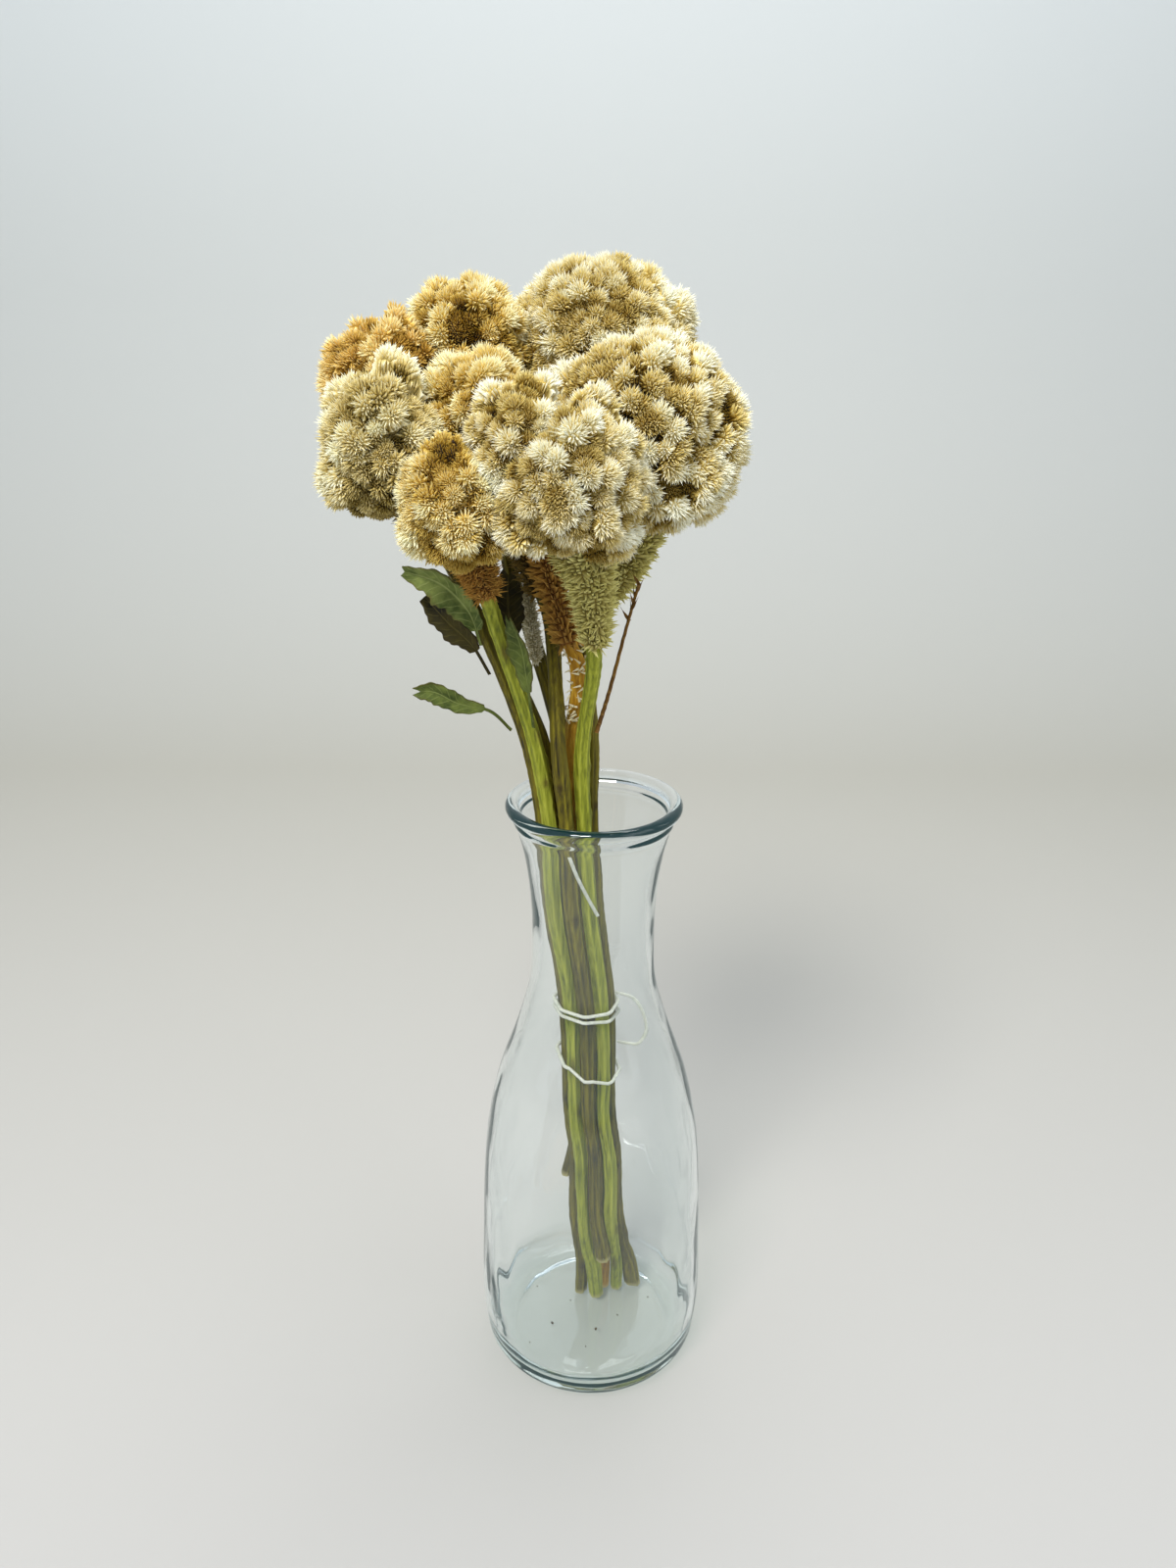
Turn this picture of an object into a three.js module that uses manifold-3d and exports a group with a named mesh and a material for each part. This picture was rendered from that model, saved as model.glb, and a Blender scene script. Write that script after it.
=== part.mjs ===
// A bunch of dried cockscomb celosia standing in a clear glass carafe.
// Millimetres, +Z up. The origin is the centre of the flat base, and the viewer stands on the -Y side.
import * as THREE from "three";
import { mergeVertices } from "three/addons/utils/BufferGeometryUtils.js";
import Module from "manifold-3d";

const wasm = await Module();
wasm.setup();

// Carafe: a one litre blown-glass bottle with a flared mouth and a round bead for a lip.
const VASE_HEIGHT = 265;
const LIP_TUBE = 2.45;
const LIP_RING = 32.1;
const WALL = 3;
const FLOOR = 6;
const FLOOR_RADIUS = 36;
const FOOT_RADIUS = 38;
const VASE_SIDES = 32;
const OUTLINE_STEPS = 14;
// Outer radius at each height, from the top of the rounded heel to just under the lip.
const VASE_OUTLINE = [
  [9, 47.9],
  [24, 49.3],
  [60, 48.5],
  [90, 47.2],
  [115, 44.8],
  [140, 39.6],
  [165, 31.2],
  [186, 25.7],
  [205, 24.7],
  [226, 25.4],
  [243, 27.6],
  [256, 31],
];

// Stems: a tied bundle, one stem in its middle and the rest in a ring, that fans out above the mouth.
const STEM_RADIUS = 2.95;
const CORE_STEM_RADIUS = 4.2;
const STEM_RIDGES = 4;
const RIDGE_DEPTH = 0.2;
const STEM_STEPS = 11;
const RING_RADIUS = 8.7;
const RING_COUNT = 8;
const FIRST_SLOT = -45;
const SEAT = 0.3;
const TIE_HEIGHT = 173;
// Where the middle of the bundle runs: height, x, y and how far the ring of stems is spread.
const BUNDLE = [
  [62, 3.2, 8, 1.02],
  [110, -0.8, 3.6, 1],
  [TIE_HEIGHT, -2.6, 0, 1],
  [222, -7.9, -5.4, 1.03],
  [262, -10.5, -7.6, 1.06],
  [292, -13, -10, 1.36],
];

// Rubber bands and leaves.
const BAND_THICKNESS = 1.5;
const BAND_SIDES = 5;
const BAND_CLEARANCE = 0.6;
const BLADE_THICKNESS = 0.7;

// Florets: pointed bracts that cover each crest and the tapering neck under it.
const FLORET_LENGTH = 2.8;
const FLORET_ROOT_DEPTH = 1.2;
const CORE_SHARE = 0.7;
const LOBE_SHARE = 0.27;
const CREST_GAP = 0.9;
const UNDERSIDE = 0.9;
const NECK_FLORET_LENGTH = 2.8;
const NECK_SIDES = 7;
const NECK_RINGS = 4;
const BARE_NECK = 0.6;
const NECK_TOP = 0.35;

const INK = {
  glass: [0xcfe0e2, 0.05],
  cream: [0xd9c89b, 0.95],
  straw: [0xcfae6c, 0.95],
  amber: [0xb98a45, 0.95],
  pale: [0xdcd0a8, 0.95],
  white: [0xe6e0cc, 0.95],
  limeStem: [0x93993a, 0.7],
  oliveStem: [0x6b6a2c, 0.75],
  amberStem: [0xa9762a, 0.75],
  leaf: [0x6f8440, 0.8],
  darkLeaf: [0x5a5a2c, 0.8],
  rubber: [0xe4e0c6, 0.5],
};

// Flower heads. at: middle of the crest. half: its half sizes. lean: how far it leans right, in degrees.
// neck: where the neck meets the stem. wide: how wide the neck gets. via: a point the neck bends towards.
// slot: the stem's place in the ring, none in the middle. fan: its shift above the mouth. foot: its cut end.
const HEADS = [
  {
    name: "front_middle",
    at: [-9.5, -48, 389], half: [24, 23, 31.5],
    neck: [-0.5, -30, 335], via: [0, -38, 362], wide: 11,
    slot: 0, foot: [13.2, 14, 6.3],
    lobes: 27, detail: 4, floret: "cream", stem: "limeStem",
  },
  {
    name: "right",
    at: [14.5, -5, 399], half: [36.5, 32, 35.5],
    neck: [3.5, -1, 345], via: [21, -8, 366], wide: 11,
    slot: 1, foot: [20.8, 16.5, 6.3],
    lobes: 38, detail: 4, floret: "cream", stem: "oliveStem",
  },
  {
    name: "top_right",
    at: [1, 30, 429.5], half: [35.5, 29, 28],
    neck: [-2, 18, 366], wide: 9,
    slot: 2, foot: [14, 23.3, 6.3],
    lobes: 32, detail: 4, floret: "cream", stem: "oliveStem",
  },
  {
    name: "top_left",
    at: [-45.5, 21, 428], half: [22.5, 24, 23.5],
    neck: [-33, 9, 362], wide: 8,
    slot: 3, foot: [0.5, 17, 50],
    lobes: 20, detail: 3, floret: "straw", stem: "oliveStem",
  },
  {
    name: "left_back",
    at: [-71, 12, 412.5], half: [24.5, 24, 30.5],
    neck: [-58, 9, 368], wide: 8,
    slot: 4, foot: [-10.5, 15, 72],
    lobes: 20, detail: 3, floret: "amber", stem: "oliveStem",
  },
  {
    name: "left_front",
    at: [-69.5, -26, 397.5], half: [19, 21.5, 33.5], lean: 8,
    neck: [-52, -20, 364], wide: 8,
    slot: 5, foot: [-4.6, 11.5, 6.3],
    lobes: 20, detail: 3, floret: "pale", stem: "oliveStem",
  },
  {
    name: "front_left",
    at: [-44, -41, 382], half: [17.5, 20, 32],
    neck: [-37, -31, 352], wide: 7,
    slot: 6, foot: [2.6, 9, 6.3],
    lobes: 20, detail: 3, floret: "straw", stem: "limeStem",
  },
  {
    name: "middle",
    at: [-39, -11, 406.5], half: [21, 21, 22.5],
    neck: [-19.5, -8, 348], wide: 8,
    slot: 7, foot: [5.6, 0.8, 36],
    lobes: 18, detail: 3, floret: "straw", stem: "oliveStem",
  },
  {
    name: "front_yellow",
    at: [-24, -41, 400.5], half: [16, 18, 25],
    neck: [-9.3, -17, 332], via: [-23.5, -11, 377], wide: 3.8,
    fan: [4.5, -1], foot: [5.2, 16, 6.3],
    lobes: 15, detail: 2, floret: "cream", stem: "amberStem",
  },
];

const INTO_VIEW = new THREE.Vector3(0, 1, 0);
const UPWARD = new THREE.Vector3(0, 0, 1);

const part = new THREE.Group();

// A repeatable number from 0 to 1 for a seed and a counter.
function chance(seed, count) {
  const x = Math.sin(seed * 78.233 + count * 12.9898) * 43758.5453;
  return x - Math.floor(x);
}

function vector([x, y, z]) {
  return new THREE.Vector3(x, y, z);
}

function headNamed(name) {
  return HEADS.find((head) => head.name === name);
}

function addPart(name, geometry, ink) {
  const [color, roughness] = INK[ink];
  const glass = ink === "glass";
  const material = new THREE.MeshStandardMaterial({
    color,
    roughness,
    metalness: 0,
    transparent: glass,
    opacity: glass ? 0.35 : 1,
  });
  const mesh = new THREE.Mesh(geometry, material);
  mesh.name = name;
  part.add(mesh);
}

// The same shape with only positions, and one vertex where several met.
function welded(geometry) {
  const bare = new THREE.BufferGeometry().setAttribute("position", geometry.getAttribute("position"));
  bare.setIndex(geometry.index);
  const joined = mergeVertices(bare, 1e-4);
  const kept = [];
  const index = joined.index.array;
  for (let i = 0; i < index.length; i += 3) {
    const [a, b, c] = index.slice(i, i + 3);
    if (a !== b && b !== c && c !== a) kept.push(a, b, c);
  }
  return joined.setIndex(kept);
}

function pointsOf(geometry) {
  const position = geometry.getAttribute("position");
  const pointAt = (_, i) => new THREE.Vector3().fromBufferAttribute(position, i);
  return Array.from({ length: position.count }, pointAt);
}

function facesOf(geometry) {
  const index = geometry.index.array;
  const cornersOf = (_, i) => [index[3 * i], index[3 * i + 1], index[3 * i + 2]];
  return Array.from({ length: index.length / 3 }, cornersOf);
}

function geometryOf(points, faces) {
  const geometry = new THREE.BufferGeometry().setFromPoints(points);
  return geometry.setIndex(faces.flat());
}

function solidOf(geometry) {
  const joined = welded(geometry);
  return new wasm.Manifold(
    new wasm.Mesh({
      numProp: 3,
      vertProperties: new Float32Array(joined.attributes.position.array),
      triVerts: new Uint32Array(joined.index.array),
    }),
  );
}

function fused(geometries) {
  const mesh = geometries.map(solidOf).reduce((whole, solid) => whole.add(solid)).getMesh();
  const geometry = new THREE.BufferGeometry();
  geometry.setAttribute("position", new THREE.BufferAttribute(mesh.vertProperties, 3));
  return geometry.setIndex(new THREE.BufferAttribute(mesh.triVerts, 1));
}

// A cylinder bent along a curve. radiusAt gives the radius for a share of the length and an angle round it.
function bentCylinder(curve, sides, steps, radiusAt) {
  const tube = welded(new THREE.CylinderGeometry(1, 1, 1, sides, steps));
  const stations = [];
  let across = new THREE.Vector3(1, 0, 0);
  for (let i = 0; i <= steps; i++) {
    const tangent = curve.getTangent(i / steps);
    across = across.clone().addScaledVector(tangent, -across.dot(tangent)).normalize();
    stations.push({ at: curve.getPoint(i / steps), across, beside: across.clone().cross(tangent) });
  }
  const points = pointsOf(tube).map((p) => {
    const t = p.y + 0.5;
    const angle = Math.atan2(p.z, p.x);
    const radius = Math.hypot(p.x, p.z) * radiusAt(t, angle);
    const station = stations[Math.round(t * steps)];
    const at = station.at.clone().addScaledVector(station.across, radius * Math.cos(angle));
    return at.addScaledVector(station.beside, radius * Math.sin(angle));
  });
  return geometryOf(points, facesOf(tube));
}

// Raises a pointed floret from each facet that tipOf gives a tip for.
function raiseFlorets(geometry, tipOf) {
  const points = pointsOf(geometry);
  const faces = [];
  facesOf(geometry).forEach((corners, f) => {
    const tip = tipOf(corners.map((c) => points[c]), f);
    if (!tip) {
      faces.push(corners);
      return;
    }
    points.push(tip);
    corners.forEach((c, k) => faces.push([c, corners[(k + 1) % 3], points.length - 1]));
  });
  return geometryOf(points, faces);
}

function vase() {
  const outline = new THREE.SplineCurve(VASE_OUTLINE.map(([z, r]) => new THREE.Vector2(r, z)));
  const outer = outline.getSpacedPoints(OUTLINE_STEPS);
  const heelTop = outer[0];
  const profile = [new THREE.Vector2(0, 0), new THREE.Vector2(FOOT_RADIUS, 0)];
  for (const turn of [0.3, 0.6, 0.85]) {
    const a = (turn * Math.PI) / 2;
    const r = FOOT_RADIUS + (heelTop.x - FOOT_RADIUS) * Math.sin(a);
    profile.push(new THREE.Vector2(r, heelTop.y * (1 - Math.cos(a))));
  }
  profile.push(...outer);
  for (const degrees of [-60, -20, 20, 60, 100, 150]) {
    const a = THREE.MathUtils.degToRad(degrees);
    const z = VASE_HEIGHT - LIP_TUBE + LIP_TUBE * Math.sin(a);
    profile.push(new THREE.Vector2(LIP_RING + LIP_TUBE * Math.cos(a), z));
  }
  const inner = outer.slice(1).filter((p, i) => i % 2 || p.y > VASE_HEIGHT / 2).reverse();
  inner.forEach((p) => profile.push(new THREE.Vector2(p.x - WALL, p.y)));
  profile.push(new THREE.Vector2(FLOOR_RADIUS + 7, 2 * FLOOR), new THREE.Vector2(FLOOR_RADIUS, FLOOR));
  profile.push(new THREE.Vector2(0, FLOOR));
  return new THREE.LatheGeometry(profile, VASE_SIDES).rotateX(Math.PI / 2);
}

// Where a stem of the bundle is at one of the heights in BUNDLE.
function bundlePoint(head, [z, x, y, spread]) {
  if (head.slot === undefined) {
    const [right, back] = z === BUNDLE.at(-1)[0] ? head.fan : [0, 0];
    return new THREE.Vector3(x + right, y + back, z);
  }
  const a = THREE.MathUtils.degToRad(FIRST_SLOT + (head.slot * 360) / RING_COUNT);
  const out = RING_RADIUS * spread;
  return new THREE.Vector3(x + out * Math.cos(a), y + out * Math.sin(a), z);
}

// A stem's course, from its cut foot through the tied bundle to just under its head's neck.
function stemCurve(head) {
  const foot = vector(head.foot);
  const points = BUNDLE.map((row) => bundlePoint(head, row)).filter((p) => p.z > foot.z + 20);
  const neck = vector(head.neck);
  const up = neckAxis(head).getTangent(0);
  const end = neck.clone().addScaledVector(up, -SEAT);
  return new THREE.CatmullRomCurve3([foot, ...points, end.clone().addScaledVector(up, -10), end]);
}

function stemRadius(head, t) {
  const foot = head.slot === undefined ? CORE_STEM_RADIUS : STEM_RADIUS;
  return foot + (STEM_RADIUS - foot) * t;
}

function stem(head) {
  const body = bentCylinder(stemCurve(head), 2 * STEM_RIDGES, STEM_STEPS, (t, angle) => {
    const ridge = RIDGE_DEPTH * Math.cos(STEM_RIDGES * angle);
    return stemRadius(head, t) + ridge;
  });
  const floor = head.foot[2];
  const points = pointsOf(body).map((p) => (p.z < floor + 0.6 * STEM_RADIUS ? p.setZ(floor) : p));
  return geometryOf(points, facesOf(body));
}

// A stem's axis point at a height, and the stem's radius there.
function stemAt(name, z) {
  const head = headNamed(name);
  const curve = stemCurve(head);
  let low = 0;
  let high = 1;
  while (high - low > 1e-4) {
    const mid = (low + high) / 2;
    if (curve.getPoint(mid).z < z) low = mid;
    else high = mid;
  }
  return { axis: curve.getPoint(low), radius: stemRadius(head, low) + RIDGE_DEPTH };
}

// A point beside a stem at a height, in a plan direction in degrees, clear of it by the seat and by more.
function besideStem(name, z, degrees, more) {
  const { axis, radius } = stemAt(name, z);
  const a = THREE.MathUtils.degToRad(degrees);
  const out = radius + SEAT + more;
  return axis.add(new THREE.Vector3(out * Math.cos(a), out * Math.sin(a), 0));
}

// How far a crest's outer ellipsoid reaches in a direction.
function reach(head, direction) {
  const [a, b, c] = head.half;
  const upright = direction.clone().applyAxisAngle(INTO_VIEW, THREE.MathUtils.degToRad(-(head.lean ?? 0)));
  return 1 / Math.hypot(upright.x / a, upright.y / b, upright.z / c);
}

function seedOf(head) {
  return HEADS.indexOf(head) + 1;
}

// The neck's axis from its foot into the crest, and its radius for the share of its length.
function neckAxis(head) {
  const bottom = vector(head.neck);
  const top = vector(head.at);
  const up = top.clone().sub(bottom).normalize();
  top.addScaledVector(up, -NECK_TOP * reach(head, up));
  const via = head.via ? vector(head.via) : bottom.clone().lerp(top, 0.5);
  return new THREE.QuadraticBezierCurve3(bottom, via, top);
}

function neckRadius(head, t) {
  const swell = STEM_RADIUS + 0.4 + (head.wide - STEM_RADIUS) * t ** 1.3;
  return swell * (1 - 2 * Math.max(0, t - 0.75));
}

// The planes that keep a crest on its own side of the other crests and necks, by normal and distance.
function partings(head) {
  const planes = [];
  const part = (point, share) => {
    const normal = point.clone().sub(vector(head.at));
    const distance = normal.length();
    normal.normalize();
    planes.push({ normal, limit: share(distance, normal) - CREST_GAP / 2 });
  };
  for (const other of HEADS) {
    if (other === head) continue;
    part(vector(other.at), (distance, normal) => {
      const mine = reach(head, normal);
      return (distance * mine) / (mine + reach(other, normal));
    });
    const axis = neckAxis(other);
    for (const t of [0, 0.2, 0.4, 0.6, 0.75])
      part(axis.getPoint(t), (distance) => distance - neckRadius(other, t) - 1.2 * NECK_FLORET_LENGTH);
  }
  return planes;
}

// Lobes: balls spread evenly over the crest, down to its shoulder.
function lobes(head) {
  const mean = Math.cbrt(head.half[0] * head.half[1] * head.half[2]);
  return Array.from({ length: head.lobes }, (_, i) => {
    const z = 1 - (1.75 * (i + 0.5)) / head.lobes;
    const turn = i * 2.39996 + 0.6 * chance(seedOf(head), i);
    const flat = Math.sqrt(1 - z * z);
    const direction = new THREE.Vector3(flat * Math.cos(turn), flat * Math.sin(turn), z);
    const radius = (LOBE_SHARE + 0.1 * chance(seedOf(head), i + 50)) * mean;
    return { at: direction.clone().multiplyScalar(reach(head, direction) - radius), radius };
  });
}

// How far the lobed surface lies from the crest's middle in a direction.
function crestReach(head, balls, direction) {
  let far = CORE_SHARE * reach(head, direction);
  for (const ball of balls) {
    const along = direction.dot(ball.at);
    const inside = along * along - ball.at.lengthSq() + ball.radius * ball.radius;
    if (inside > 0) far = Math.max(far, along + Math.sqrt(inside));
  }
  return far;
}

// The crest: a lobed body with a pointed floret on each facet, pointing straight out from its middle.
function crest(head) {
  const balls = lobes(head);
  const planes = partings(head);
  const middle = vector(head.at);
  const seed = seedOf(head);
  const towardNeck = vector(head.neck).sub(middle).normalize();
  const place = (direction, lift) => {
    let far = crestReach(head, balls, direction) + lift;
    for (const { normal, limit } of planes) {
      const along = direction.dot(normal);
      if (along > 0.01) far = Math.min(far, limit / along);
    }
    return middle.clone().addScaledVector(direction, far);
  };
  const ball = welded(new THREE.IcosahedronGeometry(1, head.detail));
  const body = geometryOf(
    pointsOf(ball).map((p) => place(p.normalize(), -FLORET_ROOT_DEPTH)),
    facesOf(ball),
  );
  return raiseFlorets(body, (corners, f) => {
    const direction = new THREE.Vector3();
    corners.forEach((c, k) => {
      direction.addScaledVector(c.clone().sub(middle).normalize(), 0.6 + chance(seed + k, f));
    });
    direction.normalize();
    if (direction.dot(towardNeck) > UNDERSIDE) return null;
    const length = FLORET_LENGTH * (0.7 + 0.45 * chance(seed, f + 7));
    return place(direction, length - FLORET_ROOT_DEPTH);
  });
}

// A tapering shaft covered with florets that lean up along it, such as a neck or a side spike.
function bristledShaft(axis, sides, rings, radiusAt, length, seed, bareFrom = 1) {
  const foot = axis.getPoint(0);
  const height = axis.getPoint(1).z - foot.z;
  const body = bentCylinder(axis, sides, rings, radiusAt);
  return raiseFlorets(body, (corners, f) => {
    const tip = new THREE.Vector3();
    corners.forEach((c) => tip.addScaledVector(c, 1 / 3));
    const share = THREE.MathUtils.clamp((tip.z - foot.z) / height, 0, 1);
    const up = axis.getTangent(share);
    const face = new THREE.Plane().setFromCoplanarPoints(...corners).normal;
    if (Math.abs(face.dot(up)) > 0.8 || share > bareFrom) return null;
    const out = tip.clone().sub(axis.getPoint(share));
    out.addScaledVector(up, -out.dot(up)).normalize();
    const reachOut = length * (0.7 + 0.5 * chance(seed, f + 900));
    return tip.addScaledVector(out, reachOut).addScaledVector(up, 0.5 * reachOut);
  });
}

function headSolid(head) {
  const neck = bristledShaft(neckAxis(head), NECK_SIDES, NECK_RINGS, (t) => neckRadius(head, t),
    NECK_FLORET_LENGTH, seedOf(head), BARE_NECK);
  return fused([crest(head), neck]);
}

// A leaf blade: a folded, waved strip along its rib, split alike on both faces, with a rim all round.
function blade({ rib, side, wide, stalk, fold, wave, notch, seed, steps }) {
  const across = 4;
  const curve = new THREE.CatmullRomCurve3(rib);
  const grid = new THREE.PlaneGeometry(2, 1, across, steps);
  const middle = pointsOf(grid).map((p) => {
    const t = THREE.MathUtils.clamp(p.y + 0.5, 0, 1);
    const s = p.x;
    const tangent = curve.getTangent(t);
    const beside = side.clone().addScaledVector(tangent, -side.dot(tangent)).normalize();
    const face = beside.clone().cross(tangent);
    const open = THREE.MathUtils.clamp((t - stalk) / (1 - stalk), 0, 1);
    const swell = Math.sin(Math.PI * Math.min(0.97, 0.06 + 0.88 * open)) ** 0.8;
    const ragged = 1 + 0.22 * (chance(seed, Math.round(t * steps) + 10 * s) - 0.5);
    const width = BLADE_THICKNESS + (wide - BLADE_THICKNESS) * swell * (open > 0 ? ragged : 0);
    const lift = fold * Math.abs(s) * width + wave * open * s * s * Math.sin(9 * t + 2.4 * s + seed);
    const at = curve.getPoint(t).addScaledVector(beside, s * width).addScaledVector(face, lift);
    at.addScaledVector(tangent, -notch * open ** 8 * (1 - Math.abs(s)));
    return { at, face };
  });
  const half = BLADE_THICKNESS / 2;
  const top = middle.map(({ at, face }) => at.clone().addScaledVector(face, half));
  const under = middle.map(({ at, face }) => at.clone().addScaledVector(face, -half));
  const count = middle.length;
  const faces = facesOf(grid);
  const rim = [];
  for (let i = 0; i < across; i++) rim.push([i + 1, i]);
  for (let j = 0; j < steps; j++) rim.push([j * (across + 1), (j + 1) * (across + 1)]);
  for (let i = 0; i < across; i++) rim.push([steps * (across + 1) + i, steps * (across + 1) + i + 1]);
  for (let j = steps; j > 0; j--) rim.push([j * (across + 1) + across, (j - 1) * (across + 1) + across]);
  const walls = rim.flatMap(([a, b]) => [[a, a + count, b], [b, a + count, b + count]]);
  return geometryOf(
    [...top, ...under],
    [...faces, ...faces.map(([a, b, c]) => [a + count, c + count, b + count]), ...walls],
  );
}

function leaves() {
  addPart("leaf_left", blade({
    rib: [
      besideStem("left_front", 297, 195, 1.3),
      vector([-38, -17, 306]),
      vector([-49.2, -19, 309.5]),
      vector([-57.5, -20, 314]),
      vector([-65, -20.5, 314.5]),
    ],
    side: UPWARD,
    wide: 3.8, stalk: 0.3, fold: 0.3, wave: 1, notch: 3, seed: 3, steps: 9,
  }), "leaf");
  addPart("leaf_folded", blade({
    rib: [
      besideStem("left_front", 331, 235, 0.9),
      vector([-44, -24.5, 345]),
      vector([-53, -24, 354]),
      vector([-66.2, -22, 358]),
    ],
    side: new THREE.Vector3(0.5, -0.3, 0.8),
    wide: 6, stalk: 0.15, fold: 0.5, wave: 1.2, notch: 1, seed: 5, steps: 8,
  }), "leaf");
  addPart("leaf_dark", blade({
    rib: [
      besideStem("left_front", 319, 190, 1.1),
      vector([-44, -17, 331]),
      vector([-52, -17, 339]),
      vector([-59.5, -17.5, 348]),
    ],
    side: new THREE.Vector3(0.6, -0.2, 0.7),
    wide: 5, stalk: 0.25, fold: 0.35, wave: 1.4, notch: 0, seed: 7, steps: 8,
  }), "darkLeaf");
  addPart("leaf_pale", blade({
    rib: [
      besideStem("front_left", 324, 110, 0.8),
      vector([-33, -20, 336]),
      vector([-37, -21.5, 347]),
    ],
    side: new THREE.Vector3(1, -0.4, 0),
    wide: 2.8, stalk: 0.15, fold: 0.4, wave: 0.6, notch: 0, seed: 9, steps: 6,
  }), "leaf");
  addPart("leaf_bright", blade({
    rib: [
      besideStem("front_left", 302, 300, 0.1),
      vector([-23.5, -27, 318]),
      vector([-25.5, -30.5, 334]),
      vector([-29.5, -33, 345]),
    ],
    side: new THREE.Vector3(1, -0.6, 0),
    wide: 4.2, stalk: 0.3, fold: 0.5, wave: 1.6, notch: 2, seed: 11, steps: 8,
  }), "leaf");
  addPart("leaf_narrow", blade({
    rib: [
      besideStem("top_left", 302, 290, 0.6),
      vector([-14.5, -1, 320]),
      vector([-15.5, 0.5, 336]),
      vector([-17, 2, 349]),
    ],
    side: new THREE.Vector3(1, -0.5, 0),
    wide: 3, stalk: 0.1, fold: 0.4, wave: 0.8, notch: 0, seed: 13, steps: 7,
  }), "darkLeaf");
  addPart("leaf_withered", blade({
    rib: [
      besideStem("left_front", 322, 60, 0.8),
      vector([-31, -7.5, 334]),
      vector([-31.5, -6, 345]),
      vector([-31, -5, 355]),
    ],
    side: new THREE.Vector3(1, 0.1, 0),
    wide: 5.5, stalk: 0.15, fold: 0.35, wave: 1.8, notch: 2, seed: 17, steps: 7,
  }), "darkLeaf");
}

// The thin side shoot on the right, with a few pointed bracts at its top.
function twig() {
  const rib = new THREE.CatmullRomCurve3([besideStem("front_middle", 299, 5, 1.2), vector([4.6, -20, 313]),
    vector([10.6, -16.5, 336]), vector([15, -14, 352])]);
  const shoot = bentCylinder(rib, 5, 9, (t) => 0.85 - 0.35 * t);
  const bracts = [0.74, 0.82, 0.9, 0.97].map((t, i) => {
    const bract = new THREE.ConeGeometry(1, 6.5, 3, 1);
    bract.translate(0, 2.6, 0).rotateX(Math.PI / 2).rotateY(i % 2 ? 0.55 : -0.6).rotateZ(i * 1.3);
    return bract.translate(...rib.getPoint(t).toArray());
  });
  return fused([shoot, ...bracts]);
}

function whiteSpike() {
  const axis = new THREE.CatmullRomCurve3([besideStem("top_left", 321, 265, 3), vector([-23.2, -1.6, 333]),
    vector([-24.5, -1, 347])]);
  return bristledShaft(axis, 6, 6, (t) => 1.1 + 0.9 * Math.sin(Math.PI * (0.15 + 0.75 * t)), 1.7, 31);
}

// A rubber band drawn round the whole bundle, at a height for each plan direction.
function band(heightAt) {
  const turns = 24;
  const rounds = 2;
  const ring = welded(new THREE.TorusGeometry(1, 0.5, BAND_SIDES, turns));
  const points = pointsOf(ring).map((p) => {
    const angle = Math.atan2(p.y, p.x);
    const out = new THREE.Vector3(Math.cos(angle), Math.sin(angle), 0);
    let height = heightAt(angle);
    let at = out;
    for (let round = 0; round < rounds; round++) {
      const spots = HEADS.filter((head) => head.slot !== undefined).map((head) => {
        const { axis, radius } = stemAt(head.name, height);
        return axis.addScaledVector(out, radius + BAND_CLEARANCE + BAND_THICKNESS / 2);
      });
      at = spots.reduce((best, spot) => (spot.dot(out) > best.dot(out) ? spot : best));
      const middle = spots.reduce((sum, spot) => sum.add(spot), vector([0, 0, 0])).divideScalar(spots.length);
      height = heightAt(Math.atan2(at.y - middle.y, at.x - middle.x));
    }
    const lift = Math.hypot(p.x, p.y) - 1;
    return vector([at.x, at.y, height])
      .addScaledVector(out, lift * BAND_THICKNESS).addScaledVector(UPWARD, p.z * BAND_THICKNESS);
  });
  return geometryOf(points, facesOf(ring));
}

function strand(points, steps) {
  return bentCylinder(new THREE.CatmullRomCurve3(points), BAND_SIDES, steps, () => BAND_THICKNESS / 2);
}

function bands() {
  addPart("band_tie_upper", band((a) => TIE_HEIGHT + 2.4 + 1.2 * Math.cos(a - 2.4)), "rubber");
  addPart("band_tie_lower", band((a) => TIE_HEIGHT - 2 + 1.6 * Math.cos(a - 3.4)), "rubber");
  addPart("band_low", band((a) => 144.5 + 6.5 * Math.cos(a - 2.6)), "rubber");
  const tuck = BAND_THICKNESS / 2;
  addPart("band_slack", strand([
    besideStem("right", 179, 0, tuck - 0.4),
    vector([17, 0, 175.5]),
    vector([22.4, -0.5, 160]),
    vector([19.5, -0.5, 153.6]),
    besideStem("right", 153, 0, tuck - 0.4),
  ], 14), "rubber");
  addPart("band_strand", strand([
    besideStem("middle", 250, 280, tuck),
    besideStem("middle", 241, 310, tuck + 0.8),
    besideStem("front_middle", 231, 270, tuck),
    besideStem("front_middle", 222, 320, tuck),
  ], 9), "rubber");
}

addPart("vase", vase(), "glass");
for (const head of HEADS) {
  addPart(`stem_${head.name}`, stem(head), head.stem);
  addPart(`head_${head.name}`, headSolid(head), head.floret);
}
leaves();
addPart("twig", twig(), "darkLeaf");
addPart("spike_white", whiteSpike(), "white");
bands();

export default part;
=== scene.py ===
"""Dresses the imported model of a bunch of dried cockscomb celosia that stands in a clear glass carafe.

Lengths in the tables are millimetres in the model's own frame, and MM turns them into metres.
"""

import math

import bpy
import numpy as np
from mathutils import Matrix, Vector


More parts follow.
